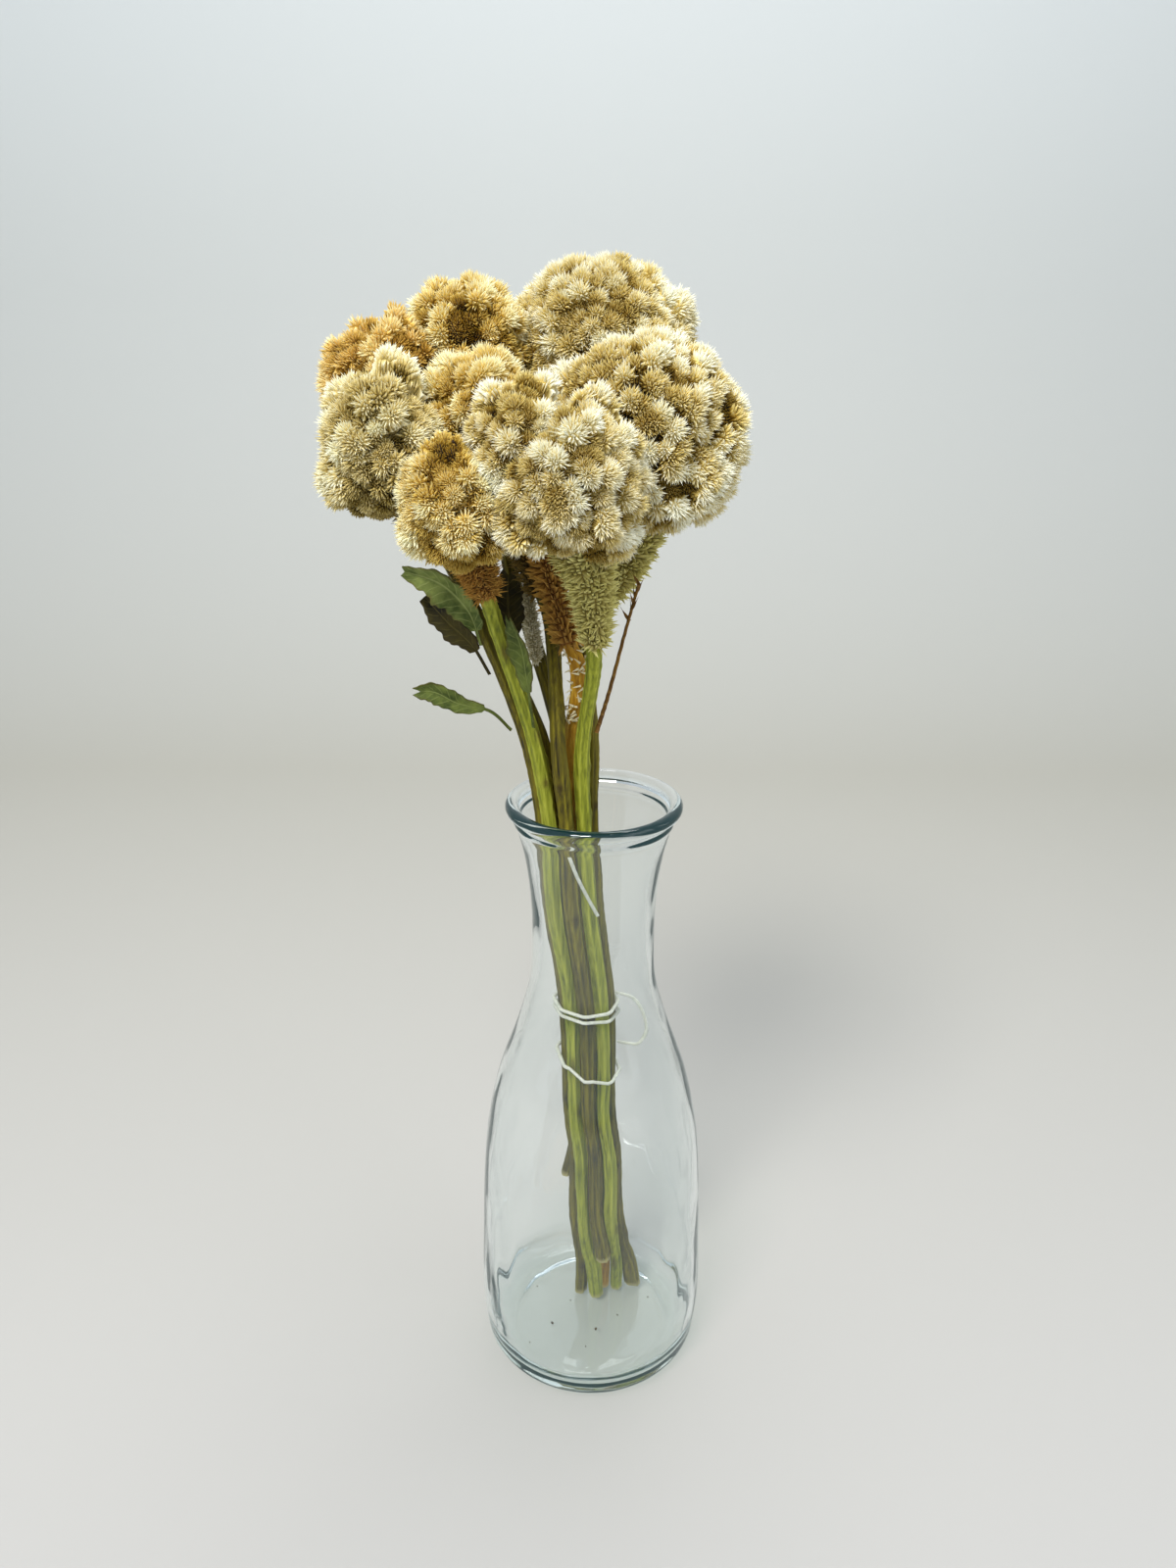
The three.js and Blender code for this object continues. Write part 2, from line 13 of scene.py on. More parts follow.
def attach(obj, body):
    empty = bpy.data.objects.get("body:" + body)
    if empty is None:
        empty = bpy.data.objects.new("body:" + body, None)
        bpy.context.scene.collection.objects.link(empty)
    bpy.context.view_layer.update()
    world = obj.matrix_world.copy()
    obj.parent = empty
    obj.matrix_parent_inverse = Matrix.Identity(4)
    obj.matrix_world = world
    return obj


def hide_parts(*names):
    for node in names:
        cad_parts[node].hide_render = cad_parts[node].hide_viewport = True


bl_info = {
    "name": "Dried celosia in a carafe",
    "version": (1, 0, 0),
    "blender": (4, 5, 0),
    "location": "View3D > Sidebar > Celosia",
    "description": "Models the glass, florets, stalks, leaves and bands over the packed parts",
    "category": "Add Mesh",
}

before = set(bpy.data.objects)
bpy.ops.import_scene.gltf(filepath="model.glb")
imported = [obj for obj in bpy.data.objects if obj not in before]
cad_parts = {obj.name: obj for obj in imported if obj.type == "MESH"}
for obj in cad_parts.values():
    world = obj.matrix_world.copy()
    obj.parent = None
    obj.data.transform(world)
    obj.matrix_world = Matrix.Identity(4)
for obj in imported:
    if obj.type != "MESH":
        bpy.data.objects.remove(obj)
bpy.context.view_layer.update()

MM = 0.001
BODY = "root"
GOLDEN_TURN = 2.39996

# The carafe: outer radius at each height, as in the part.
VASE_HEIGHT = 265
LIP_TUBE = 2.45
LIP_RING = 32.1
WALL = 3
FLOOR = 6
FLOOR_RADIUS = 36
FOOT_RADIUS = 38
VASE_OUTLINE = [(9, 47.9), (24, 49.3), (60, 48.5), (90, 47.2), (115, 44.8), (140, 39.6), (165, 31.2),
                (186, 25.7), (205, 24.7), (226, 25.4), (243, 27.6), (254.5, 30.4)]

# The rest of its half section, as radius and height: underside, groove under the lip, and inside.
UNDERSIDE = [(0, 1.3), (20, 1.3), (31, 1.2), (34, 0.8), (35.5, 0.15), (36.5, 0), (FOOT_RADIUS, 0)]
BELOW_LIP = [(30.9, 255.4), (31.25, 256.0), (31.3, 256.8), (30.95, 257.5), (30.9, 258.4), (31.2, 259.6)]
INSIDE_LIP = [(29.2, 260.6), (28.4, 258.4)]
INSIDE_HEEL = [(45.6, 14), (44.2, 11.2), (41.8, 8.7), (39, 7), (FLOOR_RADIUS - 1, FLOOR + 0.15),
               (30, FLOOR - 0.1), (24, FLOOR), (0, FLOOR)]
INSIDE_WALL_FOOT = 17
LIP_START, LIP_STEP = -72, 15.5

# The crumbs on the glass floor: place and radius.
CRUMBS = [(-17.5, -9.3, 0.75), (2.9, -13.1, 0.85), (-10, 4.1, 0.4), (27.2, 6.7, 0.45), (-27, -20.5, 0.4),
          (12.6, -4.5, 0.4), (-2, -22.6, 0.35), (-24.8, 13.1, 0.4)]

# The tied bundle.
STEM_RADIUS = 2.95
BARK = 0.2
CORE_STEM_RADIUS = 4.2
RING_RADIUS = 8.7
RING_COUNT = 8
FIRST_SLOT = -45
SEAT = 0.3
TIE_HEIGHT = 173
BUNDLE = [(62, 3.2, 8, 1.02), (110, -0.8, 3.6, 1), (TIE_HEIGHT, -2.6, 0, 1), (222, -7.9, -5.4, 1.03),
          (262, -10.5, -7.6, 1.06), (292, -13, -10, 1.36)]
BAND_THICKNESS = 1.5
BAND_CLEARANCE = 0.6

# Crests.
ROOT_DEPTH = 1.7
CORE_SHARE = 0.7
LOBE_SHARE = 0.27
CREST_GAP = 0.9
NECK_TOP = 0.35
NECK_CLEARANCE = 3.4
NECK_BARE = 0.93
LOWEST_LOBE, LOWEST_BUD = -0.75, -0.9
BUD_DENSITY = 2.9
BUD_SINK = 0.35
BUD_VALLEY = 1.1
CROWN_RISE, CROWN_ROUNDS = 1.1, 12
BIG_CREST_LOBES = 25

# How finely the pieces are made, and how many marks they bear.
KNOT_POWER = 0.25
OUTLINE_STEPS = 70
HEEL_STEPS = 12
LIP_STEPS = 17
SPIN_STEPS = 128
NECK_SIDES, NECK_RINGS = 34, 38
STALK_SIDES, STALK_RINGS = 26, 150
SCAR_COUNT, SCAR_LENGTH, SCAR_WIDTH = 16, 0.007, 0.45
SLIM_SHARE, SLIM_START, SLIM_SPAN = 0.14, 0.72, 0.08
FLAKE_COUNT = 44
FLAKE_FOOT, FLAKE_SPREAD = 298, 33
LEAF_THICKNESS = 0.42
LEAF_STALK_WIDTH = 0.55
RADIUS_SAMPLES = 100
BALL_BATCH = 8192
WELD = 2e-6

# Flower heads, with the same names and numbers as in the part, and the finish of each.
HEADS = [
    dict(name="front_middle", at=(-9.5, -48, 389), half=(24, 23, 31.5), neck=(-0.5, -30, 335),
         via=(0, -38, 362), wide=11, slot=0, foot=(13.2, 14, 6.3), lobes=27, florets="cream", under="fresh",
         stalk="lime"),
    dict(name="right", at=(14.5, -5, 399), half=(36.5, 32, 35.5), neck=(3.5, -1, 345),
         via=(21, -8, 366), wide=11, slot=1, foot=(20.8, 16.5, 6.3), lobes=38, florets="cream", under="fresh"),
    dict(name="top_right", at=(1, 30, 429.5), half=(35.5, 29, 28), neck=(-2, 18, 366),
         wide=9, slot=2, foot=(14, 23.3, 6.3), lobes=32, florets="cream"),
    dict(name="top_left", at=(-45.5, 21, 428), half=(22.5, 24, 23.5), neck=(-33, 9, 362),
         wide=8, slot=3, foot=(0.5, 17, 50), lobes=20, florets="straw"),
    dict(name="left_back", at=(-71, 12, 412.5), half=(24.5, 24, 30.5), neck=(-58, 9, 368),
         wide=8, slot=4, foot=(-10.5, 15, 72), lobes=20, florets="amber"),
    dict(name="left_front", at=(-69.5, -26, 397.5), half=(19, 21.5, 33.5), lean=8, neck=(-52, -20, 364),
         wide=8, slot=5, foot=(-4.6, 11.5, 6.3), lobes=20, florets="pale"),
    dict(name="front_left", at=(-44, -41, 382), half=(17.5, 20, 32), neck=(-37, -31, 352),
         wide=7, slot=6, foot=(2.6, 9, 6.3), lobes=20, florets="straw",
         under="golden", stalk="lime"),
    dict(name="middle", at=(-39, -11, 406.5), half=(21, 21, 22.5), neck=(-19.5, -8, 348),
         wide=8, slot=7, foot=(5.6, 0.8, 36), lobes=18, florets="straw"),
    dict(name="front_yellow", at=(-24, -41, 400.5), half=(16, 18, 25), neck=(-9.3, -17, 332),
         via=(-23.5, -11, 377), wide=3.8, fan=(4.5, -1), foot=(5.2, 16, 6.3), lobes=15, florets="cream",
         under="golden", stalk="amber"),
]


# ---------- numbers and curves

def chance(seed, count):
    """A repeatable number from 0 to 1 for a seed and a counter, or an array of counters."""
    x = np.sin(seed * 78.233 + np.asarray(count, float) * 12.9898) * 43758.5453
    return x - np.floor(x)


def unit(v):
    v = np.asarray(v, float)
    return v / np.maximum(np.linalg.norm(v, axis=-1, keepdims=True), 1e-12)


def head_named(name):
    return next(head for head in HEADS if head["name"] == name)


class Course:
    """A smooth curve through points, with the spacing that suits uneven steps."""

    def __init__(self, points):
        self.points = [np.array(p, float) for p in points]

    def at(self, t):
        p = self.points
        last = len(p) - 1
        place = last * min(max(t, 0.0), 1.0)
        i = min(int(place), last - 1)
        w = place - i
        a = p[i - 1] if i > 0 else 2 * p[0] - p[1]
        b, c = p[i], p[i + 1]
        d = p[i + 2] if i + 2 <= last else 2 * p[-1] - p[-2]
        da, db, dc = (max(float(np.dot(v, v)), 1e-12) ** KNOT_POWER for v in (b - a, c - b, d - c))
        start = ((b - a) / da - (c - a) / (da + db) + (c - b) / db) * db
        end = ((c - b) / db - (d - b) / (db + dc) + (d - c) / dc) * db
        return b + start * w + (3 * (c - b) - 2 * start - end) * w * w + (2 * (b - c) + start + end) * w ** 3

    def along(self, t):
        return unit(self.at(min(t + 1e-4, 1)) - self.at(max(t - 1e-4, 0)))


class Arch(Course):
    """A quadratic arch from the first point to the last, drawn towards the middle one."""

    def at(self, t):
        a, b, c = self.points
        return (1 - t) ** 2 * a + 2 * t * (1 - t) * b + t * t * c


def reach(head, d):
    """How far a crest's outer ellipsoid reaches in each direction."""
    a, b, c = head["half"]
    turn = -math.radians(head.get("lean", 0))
    x = d[..., 0] * math.cos(turn) + d[..., 2] * math.sin(turn)
    z = -d[..., 0] * math.sin(turn) + d[..., 2] * math.cos(turn)
    return 1 / np.sqrt((x / a) ** 2 + (d[..., 1] / b) ** 2 + (z / c) ** 2)


def stalk_kind(head):
    return head.get("stalk", "olive")


def neck_axis(head):
    """The line of a neck, from the top of the stem into the crest."""
    bottom, middle = np.array(head["neck"], float), np.array(head["at"], float)
    up = unit(middle - bottom)
    top = middle - NECK_TOP * reach(head, up) * up
    via = head.get("via", (bottom + top) / 2)
    return Arch([bottom, via, top])


def neck_radius(head, t):
    """A neck's radius at a share of its length: it widens upwards and closes inside the crest."""
    swell = STEM_RADIUS + 0.4 + (head["wide"] - STEM_RADIUS) * t ** 1.3
    return swell * (1 - 2 * max(0.0, t - 0.75))


def bundle_point(head, row):
    """Where a head's stem passes through one level of the bundle."""
    z, x, y, spread = row
    if "slot" not in head:
        right, back = head["fan"] if row == BUNDLE[-1] else (0, 0)
        return x + right, y + back, z
    a = math.radians(FIRST_SLOT + head["slot"] * 360 / RING_COUNT)
    out = RING_RADIUS * spread
    return x + out * math.cos(a), y + out * math.sin(a), z


def stem_course(head):
    """The curve of a stem from its foot through the bundle to its head."""
    foot = head["foot"]
    points = [p for p in (bundle_point(head, row) for row in BUNDLE) if p[2] > foot[2] + 20]
    up = neck_axis(head).along(0)
    end = np.array(head["neck"], float) - SEAT * up
    return Course([foot, *points, end - 10 * up, end])


def stem_radius(head, t):
    """A stem's radius at a share of its length."""
    foot = STEM_RADIUS if "slot" in head else CORE_STEM_RADIUS
    return foot + (STEM_RADIUS - foot) * t


def stem_at(name, z):
    """A stem's axis point at a height, and its radius there."""
    head = head_named(name)
    course = stem_course(head)
    low, high = 0.0, 1.0
    while high - low > 1e-4:
        mid = (low + high) / 2
        low, high = (mid, high) if course.at(mid)[2] < z else (low, mid)
    return course.at(low), stem_radius(head, low) + BARK


def sampled(radius, head, t):
    """A head's neck or stem radius for an array of shares, from evenly spaced samples."""
    samples = [radius(head, share) for share in np.linspace(0, 1, RADIUS_SAMPLES + 1)]
    return np.array(samples)[np.rint(t * RADIUS_SAMPLES).astype(int)]


def beside_stem(name, z, degrees, more):
    """A point beside a stem at a height, in a plan direction, clear of it by the seat and by more."""
    axis, radius = stem_at(name, z)
    a = math.radians(degrees)
    out = radius + SEAT + more
    return axis + np.array([out * math.cos(a), out * math.sin(a), 0])


# ---------- pieces

def deselect():
    if bpy.context.object and bpy.context.object.mode != "OBJECT":
        bpy.ops.object.mode_set(mode="OBJECT")
    bpy.ops.object.select_all(action="DESELECT")


def pick(*pieces):
    deselect()
    for piece in pieces:
        piece.select_set(True)
    bpy.context.view_layer.objects.active = pieces[0]


def named(name):
    piece = bpy.context.object
    piece.name = piece.data.name = name
    return piece


def read(group, name, width=1, kind=np.float32):
    """One property of every vertex, edge, face or corner of a mesh."""
    values = np.empty(len(group) * width, kind)
    group.foreach_get(name, values)
    return values.reshape(-1, width) if width > 1 else values


def points_of(piece):
    return read(piece.data.vertices, "co", 3).astype(float)


def set_points(piece, points):
    piece.data.vertices.foreach_set("co", np.asarray(points, np.float32).ravel())
    piece.data.update()


def edit(piece, *steps, kind="vertices", flags=None):
    """Runs mesh operators in edit mode on all of a piece, or on its flagged points, edges or faces."""
    pick(piece)
    kinds = "vertices", "edges", "polygons"
    bpy.context.tool_settings.mesh_select_mode = [name == kind for name in kinds]
    if flags is not None:
        for group in (getattr(piece.data, name) for name in kinds):
            group.foreach_set("select", np.zeros(len(group), bool))
        getattr(piece.data, kind).foreach_set("select", flags)
    bpy.ops.object.mode_set(mode="EDIT")
    if flags is None:
        bpy.ops.mesh.select_all(action="SELECT")
    for step in steps:
        step()
    bpy.ops.object.mode_set(mode="OBJECT")


def face_out():
    bpy.ops.mesh.normals_make_consistent(inside=False)


def put_values(piece, **values):
    """Stores one number a vertex under each name, for the materials."""
    for name, numbers in values.items():
        layer = piece.data.attributes.get(name) or piece.data.attributes.new(name, "FLOAT", "POINT")
        full = np.full(len(piece.data.vertices), numbers, np.float32) if np.isscalar(numbers) else numbers
        layer.data.foreach_set("value", np.asarray(full, np.float32))


def joined(pieces, name):
    pick(*pieces)
    bpy.ops.object.join()
    return named(name)


def finished(piece, material, slot, *nodes, smooth=None):
    """Gives a piece its material, hides the solids it stands for and lets it ride with the body."""
    if smooth is not None:
        pick(piece)
        bpy.ops.object.shade_smooth_by_angle(angle=math.radians(smooth))
    piece.data.materials.clear()
    piece.data.materials.append(material)
    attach(piece, BODY)
    if nodes:
        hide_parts(*nodes)
    return piece


def tube(name, course, sides, rings, radius_at):
    """A cylinder bent along a course. radius_at gives radii for shares of the length and angles round it."""
    bpy.ops.mesh.primitive_cylinder_add(vertices=sides, radius=1, depth=1, end_fill_type="TRIFAN")
    piece = named(name)
    ends = read(piece.data.edges, "vertices", 2, np.int32)
    heights = points_of(piece)[ends, 2]
    edit(piece, lambda: bpy.ops.mesh.subdivide_edgering(number_cuts=rings - 1, interpolation="LINEAR"),
         kind="edges", flags=np.abs(heights[:, 0] - heights[:, 1]) > 0.5)
    co = points_of(piece)
    t = np.clip(co[:, 2] + 0.5, 0, 1)
    level = np.rint(t * rings).astype(int)
    angle = np.arctan2(co[:, 1], co[:, 0])
    across = np.array([1.0, 0, 0])
    stations = []
    for k in range(rings + 1):
        tangent = course.along(k / rings)
        across = unit(across - np.dot(across, tangent) * tangent)
        stations.append((course.at(k / rings), across, np.cross(tangent, across)))
    at, u, v = (np.array([s[k] for s in stations])[level] for k in range(3))
    radius = np.hypot(co[:, 0], co[:, 1]) * radius_at(t, angle)
    set_points(piece, MM * (at + u * (radius * np.cos(angle))[:, None] + v * (radius * np.sin(angle))[:, None]))
    put_values(piece, along=t)
    edit(piece, face_out)
    return piece


def raise_bristles(piece, tip_of, faces=None):
    """Pokes the faces and moves each new point to its tip. Returns the index of the first tip."""
    mesh = piece.data
    flags = np.ones(len(mesh.polygons), bool) if faces is None else faces
    centres, normals = (read(mesh.polygons, name, 3).astype(float)[flags] for name in ("center", "normal"))
    first = len(mesh.vertices)
    edit(piece, lambda: bpy.ops.mesh.poke(offset=0, center_mode="MEDIAN"), kind="polygons", flags=flags)
    co = points_of(piece)
    if np.abs(co[first:] - centres).max() > 1e-4:
        raise RuntimeError(f"the new points of {piece.name} are not in the order of its faces")
    co[first:] = tip_of(centres, normals)
    set_points(piece, co)
    return first


# ---------- materials

def ink(code):
    """A colour from its usual six-digit code, as the linear numbers that nodes use."""
    parts = [int(code[k:k + 2], 16) / 255 for k in (0, 2, 4)]
    return tuple(c / 12.92 if c <= 0.04045 else ((c + 0.055) / 1.055) ** 2.4 for c in parts) + (1.0,)


class Value:
    """A socket that takes part in sums, each of which adds its Math node."""

    def __init__(self, finish, socket):
        self.finish, self.socket = finish, socket

    def _sum(self, operation, *terms):
        inputs = {k: term for k, term in enumerate(terms)}
        return self.finish.add("ShaderNodeMath", {"operation": operation}, inputs, "Value")

    def __add__(self, other): return self._sum("ADD", self, other)
    def __sub__(self, other): return self._sum("SUBTRACT", self, other)
    def __mul__(self, other): return self._sum("MULTIPLY", self, other)
    def __pow__(self, other): return self._sum("POWER", self, other)

    def larger(self, other):
        return self._sum("MAXIMUM", self, other)

    def size(self):
        return self._sum("ABSOLUTE", self)

    def sine(self):
        return self._sum("SINE", self)

    def clamped(self):
        return self.finish.add("ShaderNodeClamp", {}, {"Value": self}, "Result")


class Finish:
    """A material that is built up node by node."""

    def __init__(self, name):
        self.material = bpy.data.materials.new(name)
        self.material.use_nodes = True
        self.tree = self.material.node_tree
        self.tree.nodes.clear()
        self.output = self.tree.nodes.new("ShaderNodeOutputMaterial")

    def add(self, kind, settings, inputs, output):
        node = self.tree.nodes.new(kind)
        for key, setting in settings.items():
            if key == "stops":
                self._stops(node.color_ramp, setting)
            else:
                setattr(node, key, setting)
        for key, given in inputs.items():
            socket = node.inputs[key]
            if isinstance(given, Value):
                self.tree.links.new(given.socket, socket)
            else:
                socket.default_value = given
        return Value(self, node.outputs[output])

    @staticmethod
    def _stops(ramp, stops):
        while len(ramp.elements) < len(stops):
            ramp.elements.new(1)
        for element, (place, colour) in zip(ramp.elements, stops):
            element.position = place
            element.color = colour

    def stored(self, name):
        return self.add("ShaderNodeAttribute", {"attribute_name": name}, {}, "Fac")

    def noise(self, scale, detail, rough=0.5, stretch=(1, 1, 1)):
        here = self.add("ShaderNodeTexCoord", {}, {}, "Object")
        place = self.add("ShaderNodeMapping", {}, {"Vector": here, "Scale": stretch}, "Vector")
        inputs = {"Vector": place, "Scale": scale, "Detail": detail, "Roughness": rough}
        return self.add("ShaderNodeTexNoise", {}, inputs, "Fac")

    def ramp(self, value, *stops):
        return self.add("ShaderNodeValToRGB", {"stops": stops}, {"Fac": value}, "Color")

    def span(self, value, low, high, to_low=0.0, to_high=1.0):
        inputs = {"Value": value, "From Min": low, "From Max": high, "To Min": to_low, "To Max": to_high}
        return self.add("ShaderNodeMapRange", {}, inputs, "Result")

    def mix(self, share, first, second):
        return self.add("ShaderNodeMix", {"data_type": "RGBA"}, {0: share, 6: first, 7: second}, 2)

    def bump(self, height, strength, distance):
        inputs = {"Height": height, "Strength": strength, "Distance": distance}
        return self.add("ShaderNodeBump", {}, inputs, "Normal")

    def shader(self, colour, rough, more):
        inputs = {"Base Color": colour, "Roughness": rough, **more}
        return self.add("ShaderNodeBsdfPrincipled", {}, inputs, "BSDF")

    def close(self, surface, volume=None):
        self.tree.links.new(surface.socket, self.output.inputs["Surface"])
        if volume is not None:
            self.tree.links.new(volume.socket, self.output.inputs["Volume"])
        return self.material


FLORET_INKS = {
    # painted shade in the hollows between the lobes, lower bristles darkened as painted shade, bristles, tips
    "cream": ("221500", "9c7c22", "e6d283", "fffeec"),
    "straw": ("221200", "a07a1a", "e8cc6c", "fffbd6"),
    "amber": ("201000", "9c7418", "e4c062", "fff2bc"),
    "pale": ("221602", "8c7426", "e2cf88", "fffde2"),
    "white": ("7a6f4c", "a89c74", "e0d6b0", "fffcec"),
}

NECK_INKS = {
    # between the bristles of a neck, darkened as painted shade, and their tips
    "fresh": ("7a6208", "fff9a4"),
    "golden": ("6e3c06", "e6b658"),
    # dark: painted shade, for the necks that sit in shadow under the back heads
    "dark": ("241503", "a88c44"),
}


def floret_finish(kind, under):
    hollow_shade, low, high, tips = (ink(code) for code in FLORET_INKS[kind])
    neck_low, neck_high = (ink(code) for code in NECK_INKS[under])
    f = Finish(f"florets_{kind}_{under}")
    tip, crown, tint, neck = (f.stored(name) for name in ("tip", "crown", "tint", "neck"))
    patch = f.noise(55.0, 2.0)
    # tip and crown paint shade: the bristle roots and the hollows between the lobes go dark; tint and patch are
    # the florets' own uneven tone
    level = (tip ** 0.7 * 0.62 + crown * 0.42 + (tint - 0.5) * 0.4 + (patch - 0.5) * 0.6 - 0.08).clamped()
    colour = f.ramp(level, (0.0, hollow_shade), (0.28, low), (0.56, high), (0.92, tips))
    # The neck colour darkens towards the bristle roots: painted shade.
    neck_colour = f.mix((tip ** 0.6 * 0.85 + (tint - 0.5) * 0.5).clamped(), neck_low, neck_high)
    colour = f.mix(neck, colour, neck_colour)
    rough = f.span(level, 0, 1, 0.95, 0.8)
    return f.close(f.shader(colour, rough, {"Sheen Weight": 0.05, "Specular IOR Level": 0.2}))


STALK_INKS = {
    # groove, body, ridge, scar; groove and ridge are partly the stalk's own stripes, partly painted shade and
    # painted highlight
    "lime": ("4a5006", "8e9424", "c4c54c", "54420f"),
    "olive": ("1e1600", "5f5506", "968a20", "2e1d05"),
    "amber": ("553004", "b98512", "eec044", "50300a"),
}


def stalk_finish(kind):
    groove, body, ridge, scar = (ink(code) for code in STALK_INKS[kind])
    f = Finish("stalk_" + kind)
    rib, mark, flake, cut = (f.stored(name) for name in ("rib", "mark", "flake", "cut"))
    fibre = f.noise(900.0, 4.0, 0.6, stretch=(1, 1, 0.045))
    blotch = f.noise(45.0, 3.0, 0.6, stretch=(1, 1, 0.35))
    # rib darkens the grooves and lightens the ridges: partly the stalk's own stripes, partly painted shade and
    # highlight
    level = (rib * 0.45 + (fibre - 0.5) * 1.2 + (blotch - 0.5) * 1.1 + 0.27).clamped()
    colour = f.ramp(level, (0.05, groove), (0.45, body), (0.95, ridge))
    aged = f.span(blotch, 0.52, 0.75)
    colour = f.mix(aged * 0.45, colour, scar)
    colour = f.mix((mark * 0.9).clamped(), colour, scar)
    colour = f.mix(cut * 0.7, colour, ink("cfc48c"))
    colour = f.mix(flake, colour, ink("e6dcb4"))
    return f.close(f.shader(colour, f.span(fibre, 0.3, 0.7, 0.55, 0.8), {
        "Normal": f.bump(fibre + blotch * 0.4, 0.7, 0.0008), "Specular IOR Level": 0.35}))


LEAF_INKS = {
    # blade, pale side, vein, dry edge
    "green": ("2f3d0c", "75823a", "8f9a55", "4a3812"),
    "pale": ("46561c", "8c9850", "aab36c", "5a4418"),
    # dark: dried leaves, darkened further as painted shade where they sit under the heads
    "dark": ("1b1804", "4a4216", "6c6230", "2a1a08"),
    "brown": ("5a3a0e", "8a6426", "a98442", "3a2008"),
}


def leaf_finish(kind):
    blade, light, vein, edge = (ink(code) for code in LEAF_INKS[kind])
    f = Finish("leaf_" + kind)
    side, along = f.stored("side"), f.stored("along")
    stain = f.noise(140.0, 4.0, 0.6)
    away = side.size()
    rib = f.span(away, 0.0, 0.1, 1.0, 0.0)
    ribs = f.span((along * 70.0 - away * 9.0).sine(), 0.75, 1.0) * f.span(away, 0.05, 0.3)
    colour = f.mix(f.span(stain, 0.35, 0.7), blade, light)
    colour = f.mix((rib * 0.7 + ribs * 0.35).clamped(), colour, vein)
    colour = f.mix(f.span(away + (stain - 0.5) * 0.5, 0.82, 1.1) * 0.8, colour, edge)
    return f.close(f.shader(colour, f.span(stain, 0.3, 0.7, 0.6, 0.85), {
        "Normal": f.bump(ribs * 0.6 + rib + stain * 0.5, 0.5, 0.0006), "Specular IOR Level": 0.3}))


def rubber_finish():
    f = Finish("rubber_band")
    grain = f.noise(700.0, 3.0)
    colour = f.ramp(grain, (0.3, ink("dfe0d2")), (0.7, ink("f8f8ef")))
    return f.close(f.shader(colour, f.span(grain, 0.3, 0.7, 0.35, 0.55), {
        "Normal": f.bump(grain, 0.2, 0.0002), "Transmission Weight": 0.25}))


def glass_finish(tint, waviness):
    f = Finish("clear_glass")
    wave = f.noise(26.0, 2.0, stretch=(1, 1, 0.5))
    smear = f.noise(90.0, 3.0)
    # The faint teal emission is painted light: the glass glows a little, so its edges read teal rather than
    # black.
    glass = f.shader((1, 1, 1, 1), f.span(smear, 0.35, 0.75, 0.0, 0.02), {
        "Transmission Weight": 1.0, "IOR": 1.5, "Normal": f.bump(wave, waviness, 0.01),
        "Emission Color": (0.2, 0.85, 0.92, 1), "Emission Strength": 0.007})
    clear = f.add("ShaderNodeBsdfTransparent", {}, {"Color": (0.93, 0.935, 0.92, 1)}, "BSDF")
    shadow = f.add("ShaderNodeLightPath", {}, {}, "Is Shadow Ray")
    diffuse = f.add("ShaderNodeLightPath", {}, {}, "Is Diffuse Ray")
    straight = shadow.larger(diffuse)
    surface = f.add("ShaderNodeMixShader", {}, {0: straight, 1: glass, 2: clear}, "Shader")
    depth = f.add("ShaderNodeVolumeAbsorption", {}, {"Color": (*tint, 1), "Density": 12.0}, "Volume")
    return f.close(surface, depth)


def crumb_finish():
    f = Finish("crumbs")
    grain = f.noise(900.0, 2.0)
    colour = f.ramp(grain, (0.3, ink("2a1c0c")), (0.7, ink("6d5426")))
    return f.close(f.shader(colour, 0.9, {}))


# ---------- the glass

def vase_profile():
    """Half the section of the glass, from the middle of the underside round the lip to the middle inside."""
    outline = Course([(r, z) for z, r in VASE_OUTLINE])
    outer = [outline.at(k / OUTLINE_STEPS) for k in range(OUTLINE_STEPS + 1)]
    heel = outer[0]
    path = list(UNDERSIDE)
    for k in range(1, HEEL_STEPS):
        a = k / HEEL_STEPS * math.pi / 2
        path.append((FOOT_RADIUS + (heel[0] - FOOT_RADIUS) * math.sin(a), heel[1] * (1 - math.cos(a))))
    path += [tuple(p) for p in outer]
    path += BELOW_LIP
    for k in range(LIP_STEPS):
        a = math.radians(LIP_START + k * LIP_STEP)
        z = VASE_HEIGHT - LIP_TUBE + LIP_TUBE * math.sin(a)
        path.append((LIP_RING + LIP_TUBE * math.cos(a), z))
    inner = [(p[0] - WALL, p[1]) for p in reversed(outer) if p[1] > INSIDE_WALL_FOOT]
    return path + INSIDE_LIP + inner + INSIDE_HEEL


def spun(name, path, steps):
    """A closed shape spun round the upright axis from half of its section."""
    bpy.ops.mesh.primitive_circle_add(vertices=len(path) + 1, radius=1, fill_type="NOTHING")
    piece = named(name)
    points = [(r * MM, 0, z * MM) for r, z in path]
    set_points(piece, points + [points[-1]])
    edit(piece, lambda: bpy.ops.mesh.delete(type="VERT"), flags=[False] * len(path) + [True])
    edit(piece, lambda: bpy.ops.mesh.spin(steps=steps, angle=2 * math.pi, center=(0, 0, 0), axis=(0, 0, 1)))
    edit(piece, lambda: bpy.ops.mesh.remove_doubles(threshold=WELD), face_out)
    return piece


# ---------- the florets

def spread(count, low, seed, jitter):
    """Directions spread evenly from the top down to a level."""
    i = np.arange(count)
    z = 1 - (1 - low) * (i + 0.5) / count
    turn = i * GOLDEN_TURN + jitter * chance(seed, i)
    flat = np.sqrt(1 - z * z)
    return np.stack([flat * np.cos(turn), flat * np.sin(turn), z], 1)


